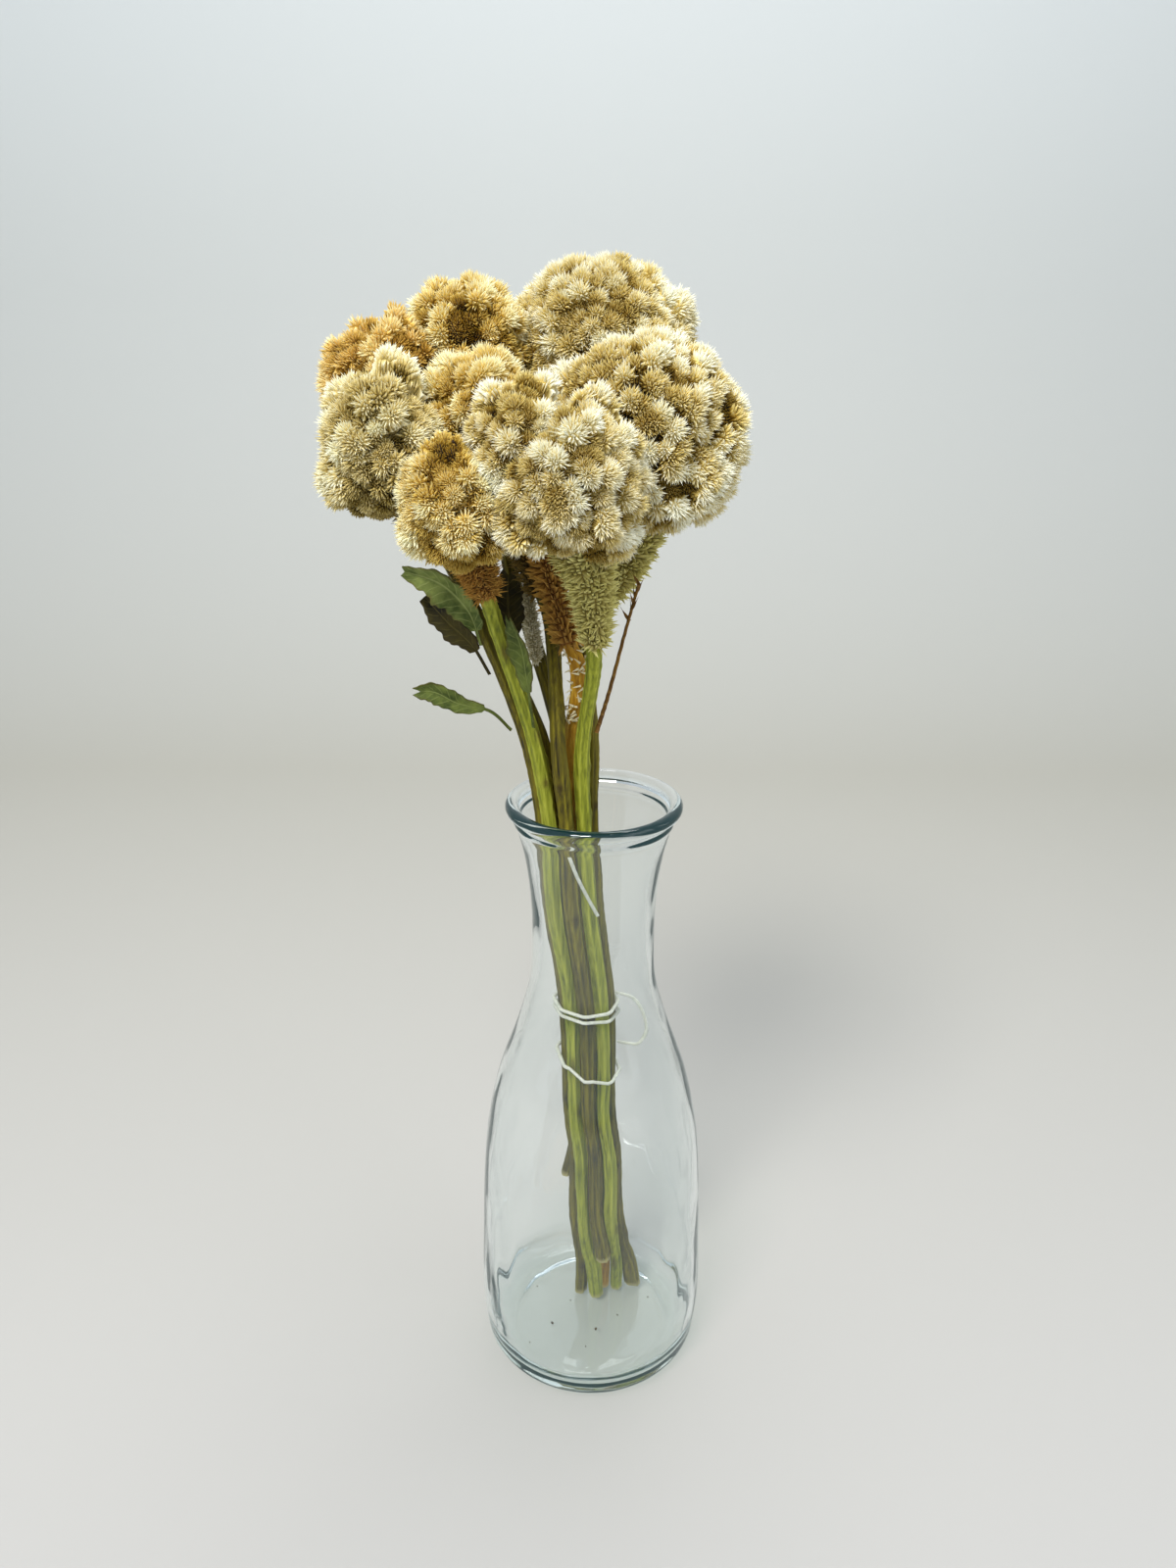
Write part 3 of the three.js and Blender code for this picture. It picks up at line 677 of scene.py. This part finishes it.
def ball_reach(d, at, radius):
    """How far the furthest ball reaches from the middle in each direction, and which ball that is."""
    best, which = np.zeros(len(d)), np.zeros(len(d), int)
    for start in range(0, len(d), BALL_BATCH):
        batch = slice(start, start + BALL_BATCH)
        part = d[batch] @ at.T
        inside = part ** 2 - (at ** 2).sum(1) + radius ** 2
        far = np.where(inside > 0, part + np.sqrt(np.maximum(inside, 0)), 0)
        best[batch] = far.max(1)
        which[batch] = far.argmax(1)
    return best, which


def partings(head):
    """The planes that keep a crest on its own side of the other crests and necks."""
    here = np.array(head["at"], float)
    normals, limits = [], []

    def part(point, share):
        way = np.array(point, float) - here
        distance = np.linalg.norm(way)
        way /= distance
        normals.append(way)
        limits.append(share(distance, way) - CREST_GAP / 2)

    for other in HEADS:
        if other is head:
            continue
        part(other["at"], lambda distance, way: (
            distance * reach(head, way) / (reach(head, way) + reach(other, way))))
        axis = neck_axis(other)
        for t in (0, 0.2, 0.4, 0.6, 0.75):
            part(axis.at(t), lambda distance, way: distance - neck_radius(other, t) - NECK_CLEARANCE)
    return np.array(normals), np.array(limits)


class Lobed:
    """The lobed surface of one crest, with small buds on each lobe."""

    def __init__(self, head, bud_radius):
        self.head = head
        seed = HEADS.index(head) + 1
        mean = float(np.cbrt(np.prod(head["half"])))
        d = spread(head["lobes"], LOWEST_LOBE, seed, 0.6)
        self.radius = (LOBE_SHARE + 0.1 * chance(seed, np.arange(len(d)) + 50)) * mean
        self.at = d * (reach(head, d) - self.radius)[:, None]
        self.normals, self.limits = partings(head)
        count = int(BUD_DENSITY * (mean / bud_radius) ** 2)
        buds = spread(count, LOWEST_BUD, seed + 20, 0.9)
        self.bud_radius = bud_radius * (0.8 + 0.5 * chance(seed + 40, np.arange(count)))
        self.bud_at = buds * (self.body(buds) - BUD_SINK * self.bud_radius)[:, None]

    def body(self, d):
        return np.maximum(CORE_SHARE * reach(self.head, d), ball_reach(d, self.at, self.radius)[0])

    def far(self, d):
        buds, which = ball_reach(d, self.bud_at, self.bud_radius)
        return np.maximum(self.body(d) - BUD_VALLEY, buds), which

    def held_back(self, d, far):
        along = d @ self.normals.T
        limit = np.where(along > 0.01, self.limits / np.maximum(along, 0.01), np.inf)
        return np.minimum(far, limit.min(1))


def smoothed(values, edges, rounds):
    """Values averaged over neighbouring points."""
    count = np.bincount(edges.ravel(), minlength=len(values)).astype(float)
    for _ in range(rounds):
        total = np.bincount(edges[:, 0], values[edges[:, 1]], len(values))
        total += np.bincount(edges[:, 1], values[edges[:, 0]], len(values))
        values = 0.5 * values + 0.5 * total / count
    return values


def bristle_tips(centres, normals, lean, lengths, seed, wander):
    """Where the bristles on faces end: out along the normal, each with its own lean and length."""
    i = np.arange(len(centres))
    stray = np.stack([chance(seed + k, i) - 0.5 for k in range(3)], 1) * wander
    return centres + unit(normals + lean + stray) * (lengths * MM)[:, None]


def crest(head, bristle, bud_radius):
    """One flower head: buds on lobes, all covered in bristles."""
    big = head["lobes"] > BIG_CREST_LOBES
    seed = HEADS.index(head) + 1
    bpy.ops.mesh.primitive_ico_sphere_add(subdivisions=5 if big else 4, radius=1)
    piece = named("crest_" + head["name"])
    edit(piece, lambda: bpy.ops.mesh.subdivide(number_cuts=2 if big else 3))
    d = unit(points_of(piece))
    lobed = Lobed(head, bud_radius)
    far, bud = lobed.far(d)
    ends = read(piece.data.edges, "vertices", 2, np.int32)
    # crown: how far a point stands proud of its neighbours and of the crest's outline; it sets the bristle
    # lengths, and its low values paint shade into the hollows of the floret colour
    crown = np.clip(0.5 + (far - smoothed(far, ends, CROWN_ROUNDS)) / CROWN_RISE, 0, 1)
    crown *= np.clip(0.25 + 0.75 * (far / reach(head, d) - 0.8) / 0.2, 0.1, 1)
    tint = chance(seed + 60, bud)
    middle = np.array(head["at"], float)
    set_points(piece, MM * (middle + d * lobed.held_back(d, far - ROOT_DEPTH)[:, None]))
    toward_neck = unit(np.array(head["neck"], float) - middle)
    seen = unit(read(piece.data.polygons, "center", 3) / MM - middle) @ toward_neck < NECK_BARE
    corner = corner_of(piece, seen)
    first = raise_bristles(piece, lambda c, n: tips_of(c, n, middle, crown[corner], bristle, seed), seen)
    count = len(corner)
    stray = 0.35 * (chance(seed + 70, np.arange(count)) - 0.5)
    put_values(piece, tip=np.r_[np.zeros(first), np.ones(count)], crown=np.r_[crown, crown[corner]],
               tint=np.r_[tint, np.clip(tint[corner] + stray, 0, 1)], neck=0.0)
    return piece


def corner_of(piece, faces):
    """The point at the first corner of each flagged face."""
    first = read(piece.data.polygons, "loop_start", kind=np.int32)[faces]
    return read(piece.data.loops, "vertex_index", kind=np.int32)[first]


def tips_of(centre, normal, middle, crown, bristle, seed):
    way = unit(centre / MM - middle)
    i = np.arange(len(centre))
    lengths = bristle * (0.5 + 0.65 * chance(seed + 3, i)) * (0.55 + 0.6 * crown)
    return bristle_tips(centre, normal, 0.55 * way, lengths, seed + 9, 0.75)


def fluffy_shaft(name, axis, sides, rings, radius_at, bristle, seed, upward, neck):
    """A tapering shaft covered with bristles that lean up along it."""
    piece = tube(name, axis, sides, rings, radius_at)
    top, foot = axis.at(1), axis.at(0)

    def tips(centre, normal):
        share = np.clip((centre[:, 2] / MM - foot[2]) / (top[2] - foot[2]), 0, 1)
        up = np.array([axis.along(t) for t in np.linspace(0, 1, 21)])[np.rint(share * 20).astype(int)]
        lengths = bristle * (0.4 + 0.8 * chance(seed + 5, np.arange(len(centre))))
        return bristle_tips(centre, normal, upward * up, lengths, seed + 11, 1.0)

    first = raise_bristles(piece, tips)
    count = len(piece.data.vertices) - first
    tint = np.r_[np.full(first, 0.5), chance(seed + 13, np.arange(count))]
    put_values(piece, tip=np.r_[np.zeros(first), np.ones(count)], crown=0.6, tint=tint, neck=neck)
    return piece


def neck_piece(head, bristle):
    seed = HEADS.index(head) + 31

    def radius_at(t, angle):
        plain = sampled(neck_radius, head, t)
        return plain + 0.5 * np.sin(5 * angle + 9 * t + seed) * t + 0.25 * np.sin(31 * t + 3 * angle)

    return fluffy_shaft("neck_" + head["name"], neck_axis(head), NECK_SIDES, NECK_RINGS, radius_at, bristle,
                        seed, 0.45, 1.0)


# ---------- stalks

def stalk(head):
    """A ribbed stalk with leaf scars along it."""
    seed = HEADS.index(head) + 1
    ribs = 5 + seed % 3
    marks = [(chance(seed, k + 200), 2 * math.pi * chance(seed, k + 300) - math.pi)
             for k in range(SCAR_COUNT)]
    rough = {}

    def radius_at(t, angle):
        turned = angle + 0.9 * t * (1 if seed % 2 else -1)
        rib = np.cos(ribs * turned + seed) * 0.6 + np.cos((2 * ribs + 1) * turned + 2 * seed) * 0.4
        scar = np.zeros(len(t))
        for place, side in marks:
            off = np.abs((angle - side + math.pi) % (2 * math.pi) - math.pi)
            scar = np.maximum(scar, np.exp(-((t - place) / SCAR_LENGTH) ** 2 - (off / SCAR_WIDTH) ** 2))
        plain = sampled(stem_radius, head, t)
        slow = 0.12 * np.sin(14 * t + seed) + 0.08 * np.sin(37 * t + 2 * angle)
        knobs = 0.22 * (chance(seed + 5, np.rint(t * 170) * 7 + np.rint(angle * 2)) - 0.5)
        rough["rib"], rough["mark"] = 0.5 + 0.5 * rib, scar
        slim = 1 - SLIM_SHARE * np.clip((t - SLIM_START) / SLIM_SPAN, 0, 1)
        return plain * slim + 0.3 * rib + slow + 0.6 * scar + knobs

    piece = tube("stalk_" + head["name"], stem_course(head), STALK_SIDES, STALK_RINGS, radius_at)
    co = points_of(piece) / MM
    floor = head["foot"][2]
    low = co[:, 2] < floor + 0.6 * STEM_RADIUS
    co[low, 2] = floor
    bow = np.clip((co[:, 2] - 8) / 25, 0, 1) * np.clip((135 - co[:, 2]) / 40, 0, 1)
    co[:, 0] += 1.1 * bow * np.sin(co[:, 2] / 12)
    co[:, 1] += 0.7 * bow * np.cos(co[:, 2] / 15)
    set_points(piece, MM * co)
    put_values(piece, rib=rough["rib"], mark=rough["mark"], flake=0.0, cut=low.astype(float))
    return joined([piece, *flakes(head)], piece.name) if stalk_kind(head) == "amber" else piece


def flakes(head):
    """Loose florets that stick to a stalk below its head."""
    pieces = []
    for i in range(FLAKE_COUNT):
        axis, radius = stem_at(head["name"], FLAKE_FOOT + FLAKE_SPREAD * chance(3, i) ** 0.7)
        a = math.radians(-90 + 220 * (chance(4, i) - 0.5))
        out = (radius + 0.3) * np.array([math.cos(a), math.sin(a), 0])
        bpy.ops.mesh.primitive_cone_add(vertices=4, radius1=0.55 * MM, radius2=0.1 * MM, depth=3 * MM,
                                        location=MM * (axis + out),
                                        rotation=(2.6 * chance(5, i), 2.6 * chance(6, i), a))
        piece = named(f"flake_{i}")
        bpy.ops.object.transform_apply(location=True, rotation=True, scale=True)
        put_values(piece, rib=0.5, mark=0.0, flake=1.0, cut=0.0)
        pieces.append(piece)
    return pieces


# ---------- leaves

LEAF_FIELDS = "name", "rib", "side", "wide", "stalk", "fold", "wave", "notch", "curl", "seed", "ink"
LEAVES = [dict(zip(LEAF_FIELDS, row)) for row in (
    ("leaf_left", [("left_front", 297, 195, 1.3), (-38, -17, 306), (-49.2, -19, 309.5), (-57.5, -20, 314),
                   (-65, -20.5, 314.5)],
     (0, 0, 1), 3.8, 0.3, 0.3, 1.0, 3, 0.6, 3, "green"),
    ("leaf_folded", [("left_front", 331, 235, 0.9), (-44, -24.5, 345), (-53, -24, 354), (-66.2, -22, 358)],
     (0.5, -0.3, 0.8), 6, 0.15, 0.5, 1.2, 1, 0.8, 5, "pale"),
    ("leaf_dark", [("left_front", 319, 190, 1.1), (-44, -17, 331), (-52, -17, 339), (-59.5, -17.5, 348)],
     (0.6, -0.2, 0.7), 5, 0.25, 0.35, 1.4, 0, 0.9, 7, "dark"),
    ("leaf_pale", [("front_left", 324, 110, 0.8), (-33, -20, 336), (-37, -21.5, 347)],
     (1, -0.4, 0), 2.8, 0.15, 0.4, 0.6, 0, 0.5, 9, "pale"),
    ("leaf_bright", [("front_left", 302, 300, 0.1), (-23.5, -27, 318), (-25.5, -30.5, 334),
                     (-29.5, -33, 345)],
     (1, -0.6, 0), 4.2, 0.3, 0.5, 1.6, 2, 0.9, 11, "green"),
    ("leaf_narrow", [("top_left", 302, 290, 0.6), (-14.5, -1, 320), (-15.5, 0.5, 336), (-17, 2, 349)],
     (1, -0.5, 0), 3, 0.1, 0.4, 0.8, 0, 0.5, 13, "dark"),
    # leaf_withered spreads wide under the heads: a withered leaf whose dark ink also paints the shade there
    ("leaf_withered", [("left_front", 322, 60, 0.8), (-31, -7.5, 334), (-31.5, -6, 345), (-31, -5, 355)],
     (1, 0.1, 0), 5.5, 0.15, 0.35, 1.8, 2, 0.9, 17, "dark"),
)]

BRACT_LENGTH = 6.5
BRACT_PLACES = (0.74, 0.79, 0.82, 0.86, 0.9, 0.94, 0.97, 1.0)


def leaf(form, across=14, steps=64):
    """A dry leaf blade, folded along its rib, waved, notched and ragged at the edge."""
    rib = [beside_stem(*p) if isinstance(p[0], str) else p for p in form["rib"]]
    course = Course(rib)
    bpy.ops.mesh.primitive_grid_add(x_subdivisions=across, y_subdivisions=steps, size=2)
    piece = named("blade_" + form["name"])
    co = points_of(piece)
    points, seed = np.empty_like(co), form["seed"]
    for k, (s, v, _) in enumerate(co):
        t = min(max((v + 1) / 2, 0.0), 1.0)
        tangent = course.along(t)
        side = np.array(form["side"], float)
        beside = unit(side - np.dot(side, tangent) * tangent)
        face = np.cross(beside, tangent)
        opened = min(max((t - form["stalk"]) / (1 - form["stalk"]), 0.0), 1.0)
        swell = math.sin(math.pi * min(0.97, 0.06 + 0.88 * opened)) ** 0.8
        ragged = 1 + 0.09 * math.sin(23 * t + 5 * s + seed) + 0.07 * math.sin(61 * t - 3 * s + 2 * seed)
        width = LEAF_STALK_WIDTH + (form["wide"] - LEAF_STALK_WIDTH) * swell * (ragged if opened > 0 else 0)
        lift = form["fold"] * abs(s) * width + form["wave"] * opened * s * s * math.sin(9 * t + 2.4 * s + seed)
        crumple = math.sin(31 * t + 4 * s + seed) * 0.3 + math.sin(17 * t - 6 * s + 2 * seed) * 0.35
        lift += form["curl"] * opened * abs(s) * crumple
        at = course.at(t) + beside * s * width + face * lift
        points[k] = at - tangent * form["notch"] * opened ** 8 * (1 - abs(s))
    set_points(piece, MM * points)
    put_values(piece, side=co[:, 0], along=(co[:, 1] + 1) / 2)
    pick(piece)
    thick = piece.modifiers.new("thickness", "SOLIDIFY")
    thick.thickness = LEAF_THICKNESS * MM
    thick.offset = 0
    bpy.ops.object.modifier_apply(modifier=thick.name)
    edit(piece, face_out)
    return piece


def shoot():
    """The thin side shoot with its pointed bracts."""
    course = Course([beside_stem("front_middle", 299, 5, 1.2), (4.6, -20, 313), (10.6, -16.5, 336),
                     (15, -14, 352)])
    twig = tube("shoot_stalk", course, 10, 60,
                lambda t, angle: 0.85 - 0.35 * t + 0.06 * np.sin(90 * t + angle))
    put_values(twig, side=0.5)
    bracts = []
    for i, t in enumerate(BRACT_PLACES):
        bpy.ops.mesh.primitive_cone_add(vertices=8, radius1=0.62 * MM, radius2=0.02 * MM,
                                        depth=BRACT_LENGTH * MM)
        bract = named(f"bract_{i}")
        edit(bract, lambda: bpy.ops.mesh.subdivide(number_cuts=2))
        co = points_of(bract) / MM
        lift = co[:, 2] + BRACT_LENGTH / 2
        co[:, 0] *= 1 + 0.5 * np.sin(lift)
        co[:, 1] = 0.45 * co[:, 1] + 0.03 * lift ** 2
        tip = Matrix.Rotation(i * 1.3, 3, "Z") @ Matrix.Rotation(0.55 if i % 2 else -0.6, 3, "Y")
        co[:, 2] = lift - 0.6
        co = co @ np.array(tip).T + course.at(t)
        set_points(bract, MM * co)
        put_values(bract, side=0.6, along=np.clip(lift / BRACT_LENGTH, 0, 1))
        bracts.append(bract)
    return joined([twig, *bracts], "side_shoot")


# ---------- bands

def band(name, height_at):
    """A rubber band drawn tight round the ring of stems, at a height for each plan angle about its middle."""
    bpy.ops.mesh.primitive_torus_add(major_radius=1, minor_radius=0.4, major_segments=120, minor_segments=10)
    piece = named(name)
    co = points_of(piece)
    thick = BAND_THICKNESS / 0.8
    levels = {}
    seated = np.empty_like(co)
    ring = [head for head in HEADS if "slot" in head]
    for k, (x, y, z) in enumerate(co):
        angle = math.atan2(y, x)
        key = round(angle, 4)
        out = np.array([math.cos(angle), math.sin(angle), 0])
        if key not in levels:
            height = height_at(angle)
            for _ in range(2):
                spots = []
                for head in ring:
                    axis, radius = stem_at(head["name"], height)
                    spots.append(axis + out * (radius + BAND_CLEARANCE + BAND_THICKNESS / 2))
                spot = max(spots, key=lambda at: float(np.dot(at, out)))
                middle = np.mean(spots, 0)
                height = height_at(math.atan2(spot[1] - middle[1], spot[0] - middle[0]))
            levels[key] = np.array([spot[0], spot[1], height])
        seated[k] = levels[key] + thick * (out * (math.hypot(x, y) - 1) + np.array([0, 0, z]))
    set_points(piece, MM * seated)
    return piece


def strand(name, rings, *points):
    """A free length of band, a little flattened."""
    return tube(name, Course(points), 12, rings,
                lambda t, angle: 0.5 * BAND_THICKNESS * (0.75 + 0.2 * np.cos(2 * angle)))


# ---------- the stage, in metres

SWEEP_LENGTH, SWEEP_START, SWEEP_HALF_WIDTH = 5.4, -2.2, 2.6
SWEEP_BEND, SWEEP_RADIUS = 0.75, 0.5
SWEEP_DROP = 0.0002

# Shares of the floor's colour along the sweep, from the near floor to the top of the backdrop: painted light, a
# little darker and warmer at the bend and brighter and bluer up the backdrop.
SWEEP_SHARES = [(0.0, (0.99, 0.97, 0.97)), (0.35, (1.0, 0.965, 0.88)), (1.0, (1.78, 1.9, 2.02))]
SWEEP_SPAN = -0.2, 2.4

ROOM_COLOUR, ROOM_STRENGTH = (0.86, 0.93, 1.0, 1), 0.6
LAMP_AIM = (0, 0, 0.28)
LAMPS = [
    # name, place, size, power, colour
    ("key", (-0.35, -0.7, 1.35), 0.4, 15.5, (1.0, 0.98, 0.94)),
    ("fill", (0.95, -0.5, 0.9), 0.8, 2.5, (0.92, 0.96, 1.0)),
    ("top", (0.1, 0.3, 1.6), 0.7, 7, (1.0, 1.0, 1.0)),
]
CAMERA_LENS, CAMERA_SENSOR = 27, 36
CAMERA_PLACE, CAMERA_TILT, CAMERA_ROLL = (-0.0024, -0.421, 0.441), 68, 0.285


def sweep():
    """The pale floor that bends up into the backdrop."""
    bpy.ops.mesh.primitive_grid_add(x_subdivisions=2, y_subdivisions=60, size=2)
    piece = named("sweep")
    co = points_of(piece)
    run = (co[:, 1] + 1) / 2 * SWEEP_LENGTH + SWEEP_START
    turn = np.clip((run - SWEEP_BEND) / SWEEP_RADIUS, 0, math.pi / 2)
    rise = np.maximum(run - SWEEP_BEND - SWEEP_RADIUS * math.pi / 2, 0)
    y = np.where(run < SWEEP_BEND, run, SWEEP_BEND + SWEEP_RADIUS * np.sin(turn))
    z = SWEEP_RADIUS * (1 - np.cos(turn)) + rise
    set_points(piece, np.stack([co[:, 0] * SWEEP_HALF_WIDTH, y, z - SWEEP_DROP], 1))
    pick(piece)
    bpy.ops.object.shade_smooth()
    put_values(piece, run=run)
    f = Finish("stage_paper")
    stops = [(place, (*(c * share for c, share in zip(settings().floor_tone, shares)), 1))
             for place, shares in SWEEP_SHARES]
    # The ramp paints light along the sweep, by the shares in SWEEP_SHARES.
    colour = f.ramp(f.span(f.stored("run"), *SWEEP_SPAN), *stops)
    piece.data.materials.append(f.close(f.shader(colour, 0.9, {"Specular IOR Level": 0.1})))
    return piece


def placed(scene, data, matrix):
    """Puts a lamp or a camera into the scene."""
    thing = bpy.data.objects.new(data.name, data)
    thing.matrix_world = matrix
    scene.collection.objects.link(thing)
    return thing


# ---------- settings and operators

def tone(name, description, default):
    return bpy.props.FloatVectorProperty(name=name, description=description, subtype="COLOR", size=3,
                                         default=default, min=0, max=1)


def length(name, description, default, low, high):
    return bpy.props.FloatProperty(name=name, description=description, default=default * MM, min=low * MM,
                                   max=high * MM, unit="LENGTH")


class CelosiaSettings(bpy.types.PropertyGroup):
    glass_tint: tone("Glass tint", "Colour of the glass where it is thick", (0.45, 0.72, 0.72))
    waviness: bpy.props.FloatProperty(name="Waviness", description="How wavy the blown glass is",
                                      default=0.22, min=0, max=1)
    bristle: length("Bristle length", "Length of the florets' bristles", 3.0, 0.5, 8)
    bud: length("Bud radius", "Radius of the small buds on the lobes", 2.9, 1, 6)
    neck_bristle: length("Neck bristles", "Length of the bristles under a head", 4.4, 0.5, 8)
    floor_tone: tone("Floor", "Colour of the floor and backdrop", (0.52, 0.52, 0.505))


def settings():
    return bpy.context.scene.celosia


class CELOSIA_OT_carafe(bpy.types.Operator):
    """Spin the glass carafe"""
    bl_idname = "celosia.carafe"
    bl_label = "Carafe"

    def execute(self, context):
        glass = glass_finish(tuple(settings().glass_tint), settings().waviness)
        finished(spun("carafe", vase_profile(), SPIN_STEPS), glass, "glass", "vase", smooth=35)
        return {"FINISHED"}


class CELOSIA_OT_crests(bpy.types.Operator):
    """Model the flower heads with their necks"""
    bl_idname = "celosia.crests"
    bl_label = "Flower heads"

    def execute(self, context):
        finishes = {}
        for head in HEADS:
            # A head without its own under gets the dark neck inks, which paint the shade beneath the back
            # heads.
            inks = head["florets"], head.get("under", "dark")
            if inks not in finishes:
                finishes[inks] = floret_finish(*inks)
            top = crest(head, settings().bristle / MM, settings().bud / MM)
            whole = joined([top, neck_piece(head, settings().neck_bristle / MM)], "crest_" + head["name"])
            finished(whole, finishes[inks], head["florets"] + "_florets", "head_" + head["name"])
        return {"FINISHED"}


class CELOSIA_OT_stalks(bpy.types.Operator):
    """Model the ribbed stalks"""
    bl_idname = "celosia.stalks"
    bl_label = "Stalks"

    def execute(self, context):
        finishes = {kind: stalk_finish(kind) for kind in STALK_INKS}
        for head in HEADS:
            kind = stalk_kind(head)
            finished(stalk(head), finishes[kind], kind + "_stem", "stem_" + head["name"], smooth=40)
        return {"FINISHED"}


class CELOSIA_OT_foliage(bpy.types.Operator):
    """Model the leaves, the side shoot and the white side spike"""
    bl_idname = "celosia.foliage"
    bl_label = "Leaves and shoots"

    def execute(self, context):
        finishes = {kind: leaf_finish(kind) for kind in LEAF_INKS}
        for form in LEAVES:
            slot = "dark_leaf" if form["ink"] == "dark" else "leaf"
            finished(leaf(form), finishes[form["ink"]], slot, form["name"], smooth=50)
        finished(shoot(), finishes["brown"], "dark_leaf", "twig", smooth=50)
        axis = Course([beside_stem("top_left", 321, 265, 3), (-23.2, -1.6, 333), (-24.5, -1, 347)])
        spike = fluffy_shaft("white_spike", axis, 16, 36,
                             lambda t, angle: 1.0 + 0.8 * np.sin(math.pi * (0.15 + 0.75 * t)),
                             2.4, 31, 0.3, 0.0)
        finished(spike, floret_finish("white", "fresh"), "white_florets", "spike_white")
        return {"FINISHED"}


class CELOSIA_OT_crumbs(bpy.types.Operator):
    """Scatter the few crumbs that lie on the glass floor"""
    bl_idname = "celosia.crumbs"
    bl_label = "Crumbs"

    def execute(self, context):
        crumbs = []
        for i, (x, y, size) in enumerate(CRUMBS):
            bpy.ops.mesh.primitive_ico_sphere_add(subdivisions=1, radius=size * MM)
            crumb = named(f"crumb_{i}")
            lumps = 0.7 + 0.6 * chance(i + 1, np.arange(len(crumb.data.vertices)))
            set_points(crumb, points_of(crumb) * lumps[:, None] + MM * np.array([x, y, FLOOR + 0.1 + size]))
            crumbs.append(crumb)
        finished(joined(crumbs, "crumbs"), crumb_finish(), "dark_leaf")
        return {"FINISHED"}


class CELOSIA_OT_bands(bpy.types.Operator):
    """Model the rubber bands"""
    bl_idname = "celosia.bands"
    bl_label = "Rubber bands"

    def execute(self, context):
        tuck = BAND_THICKNESS / 2
        loops = [
            (band("loop_tie_upper", lambda a: TIE_HEIGHT + 2.4 + 1.2 * math.cos(a - 2.4)), "band_tie_upper"),
            (band("loop_tie_lower", lambda a: TIE_HEIGHT - 2 + 1.6 * math.cos(a - 3.4)), "band_tie_lower"),
            (band("loop_low", lambda a: 144.5 + 6.5 * math.cos(a - 2.6)), "band_low"),
            (strand("loop_slack", 70, beside_stem("right", 179, 0, tuck - 0.4), (17, 0, 175.5),
                    (22.4, -0.5, 160), (19.5, -0.5, 153.6), beside_stem("right", 153, 0, tuck - 0.4)),
             "band_slack"),
            (strand("loop_strand", 50, beside_stem("middle", 250, 280, tuck),
                    beside_stem("middle", 241, 310, tuck + 0.8), beside_stem("front_middle", 231, 270, tuck),
                    beside_stem("front_middle", 222, 320, tuck)), "band_strand"),
        ]
        finish = rubber_finish()
        for piece, node in loops:
            finished(piece, finish, "rubber", node, smooth=50)
        return {"FINISHED"}


class CELOSIA_OT_stage(bpy.types.Operator):
    """Set up the pale floor, the soft light and the camera"""
    bl_idname = "celosia.stage"
    bl_label = "Stage"

    def execute(self, context):
        sweep()
        scene = context.scene
        scene.world = bpy.data.worlds.new("soft_room")
        scene.world.use_nodes = True
        room = scene.world.node_tree.nodes["Background"].inputs
        room["Color"].default_value, room["Strength"].default_value = ROOM_COLOUR, ROOM_STRENGTH
        for name, place, size, power, colour in LAMPS:
            light = bpy.data.lights.new(name, "AREA")
            light.shape, light.size, light.energy, light.color = "SQUARE", size, power, colour
            aim = (Vector(LAMP_AIM) - Vector(place)).to_track_quat("-Z", "Y").to_matrix().to_4x4()
            placed(scene, light, Matrix.Translation(place) @ aim)
        lens = bpy.data.cameras.new("camera")
        lens.lens, lens.sensor_width, lens.clip_start = CAMERA_LENS, CAMERA_SENSOR, 0.01
        tilt, roll = (Matrix.Rotation(math.radians(turn), 4, axis)
                      for turn, axis in ((CAMERA_TILT, "X"), (CAMERA_ROLL, "Z")))
        scene.camera = placed(scene, lens, Matrix.Translation(CAMERA_PLACE) @ (tilt @ roll))
        scene.view_settings.view_transform = "Standard"
        return {"FINISHED"}


OPERATORS = (CELOSIA_OT_carafe, CELOSIA_OT_crests, CELOSIA_OT_stalks, CELOSIA_OT_foliage, CELOSIA_OT_crumbs,
             CELOSIA_OT_bands, CELOSIA_OT_stage)


class CELOSIA_PT_panel(bpy.types.Panel):
    """The settings and the steps, in order"""
    bl_idname = "CELOSIA_PT_panel"
    bl_label = "Celosia"
    bl_space_type = "VIEW_3D"
    bl_region_type = "UI"
    bl_category = "Celosia"

    def draw(self, context):
        for name in CelosiaSettings.__annotations__:
            self.layout.prop(context.scene.celosia, name)
        for operator in OPERATORS:
            self.layout.operator(operator.bl_idname)


CLASSES = (CelosiaSettings, *OPERATORS, CELOSIA_PT_panel)


def register():
    for kind in CLASSES:
        bpy.utils.register_class(kind)
    bpy.types.Scene.celosia = bpy.props.PointerProperty(type=CelosiaSettings)


def unregister():
    del bpy.types.Scene.celosia
    for kind in reversed(CLASSES):
        bpy.utils.unregister_class(kind)


def main():
    register()
    for operator in OPERATORS:
        deselect()
        area, name = operator.bl_idname.split(".")
        getattr(getattr(bpy.ops, area), name)()


if __name__ == "__main__":
    main()
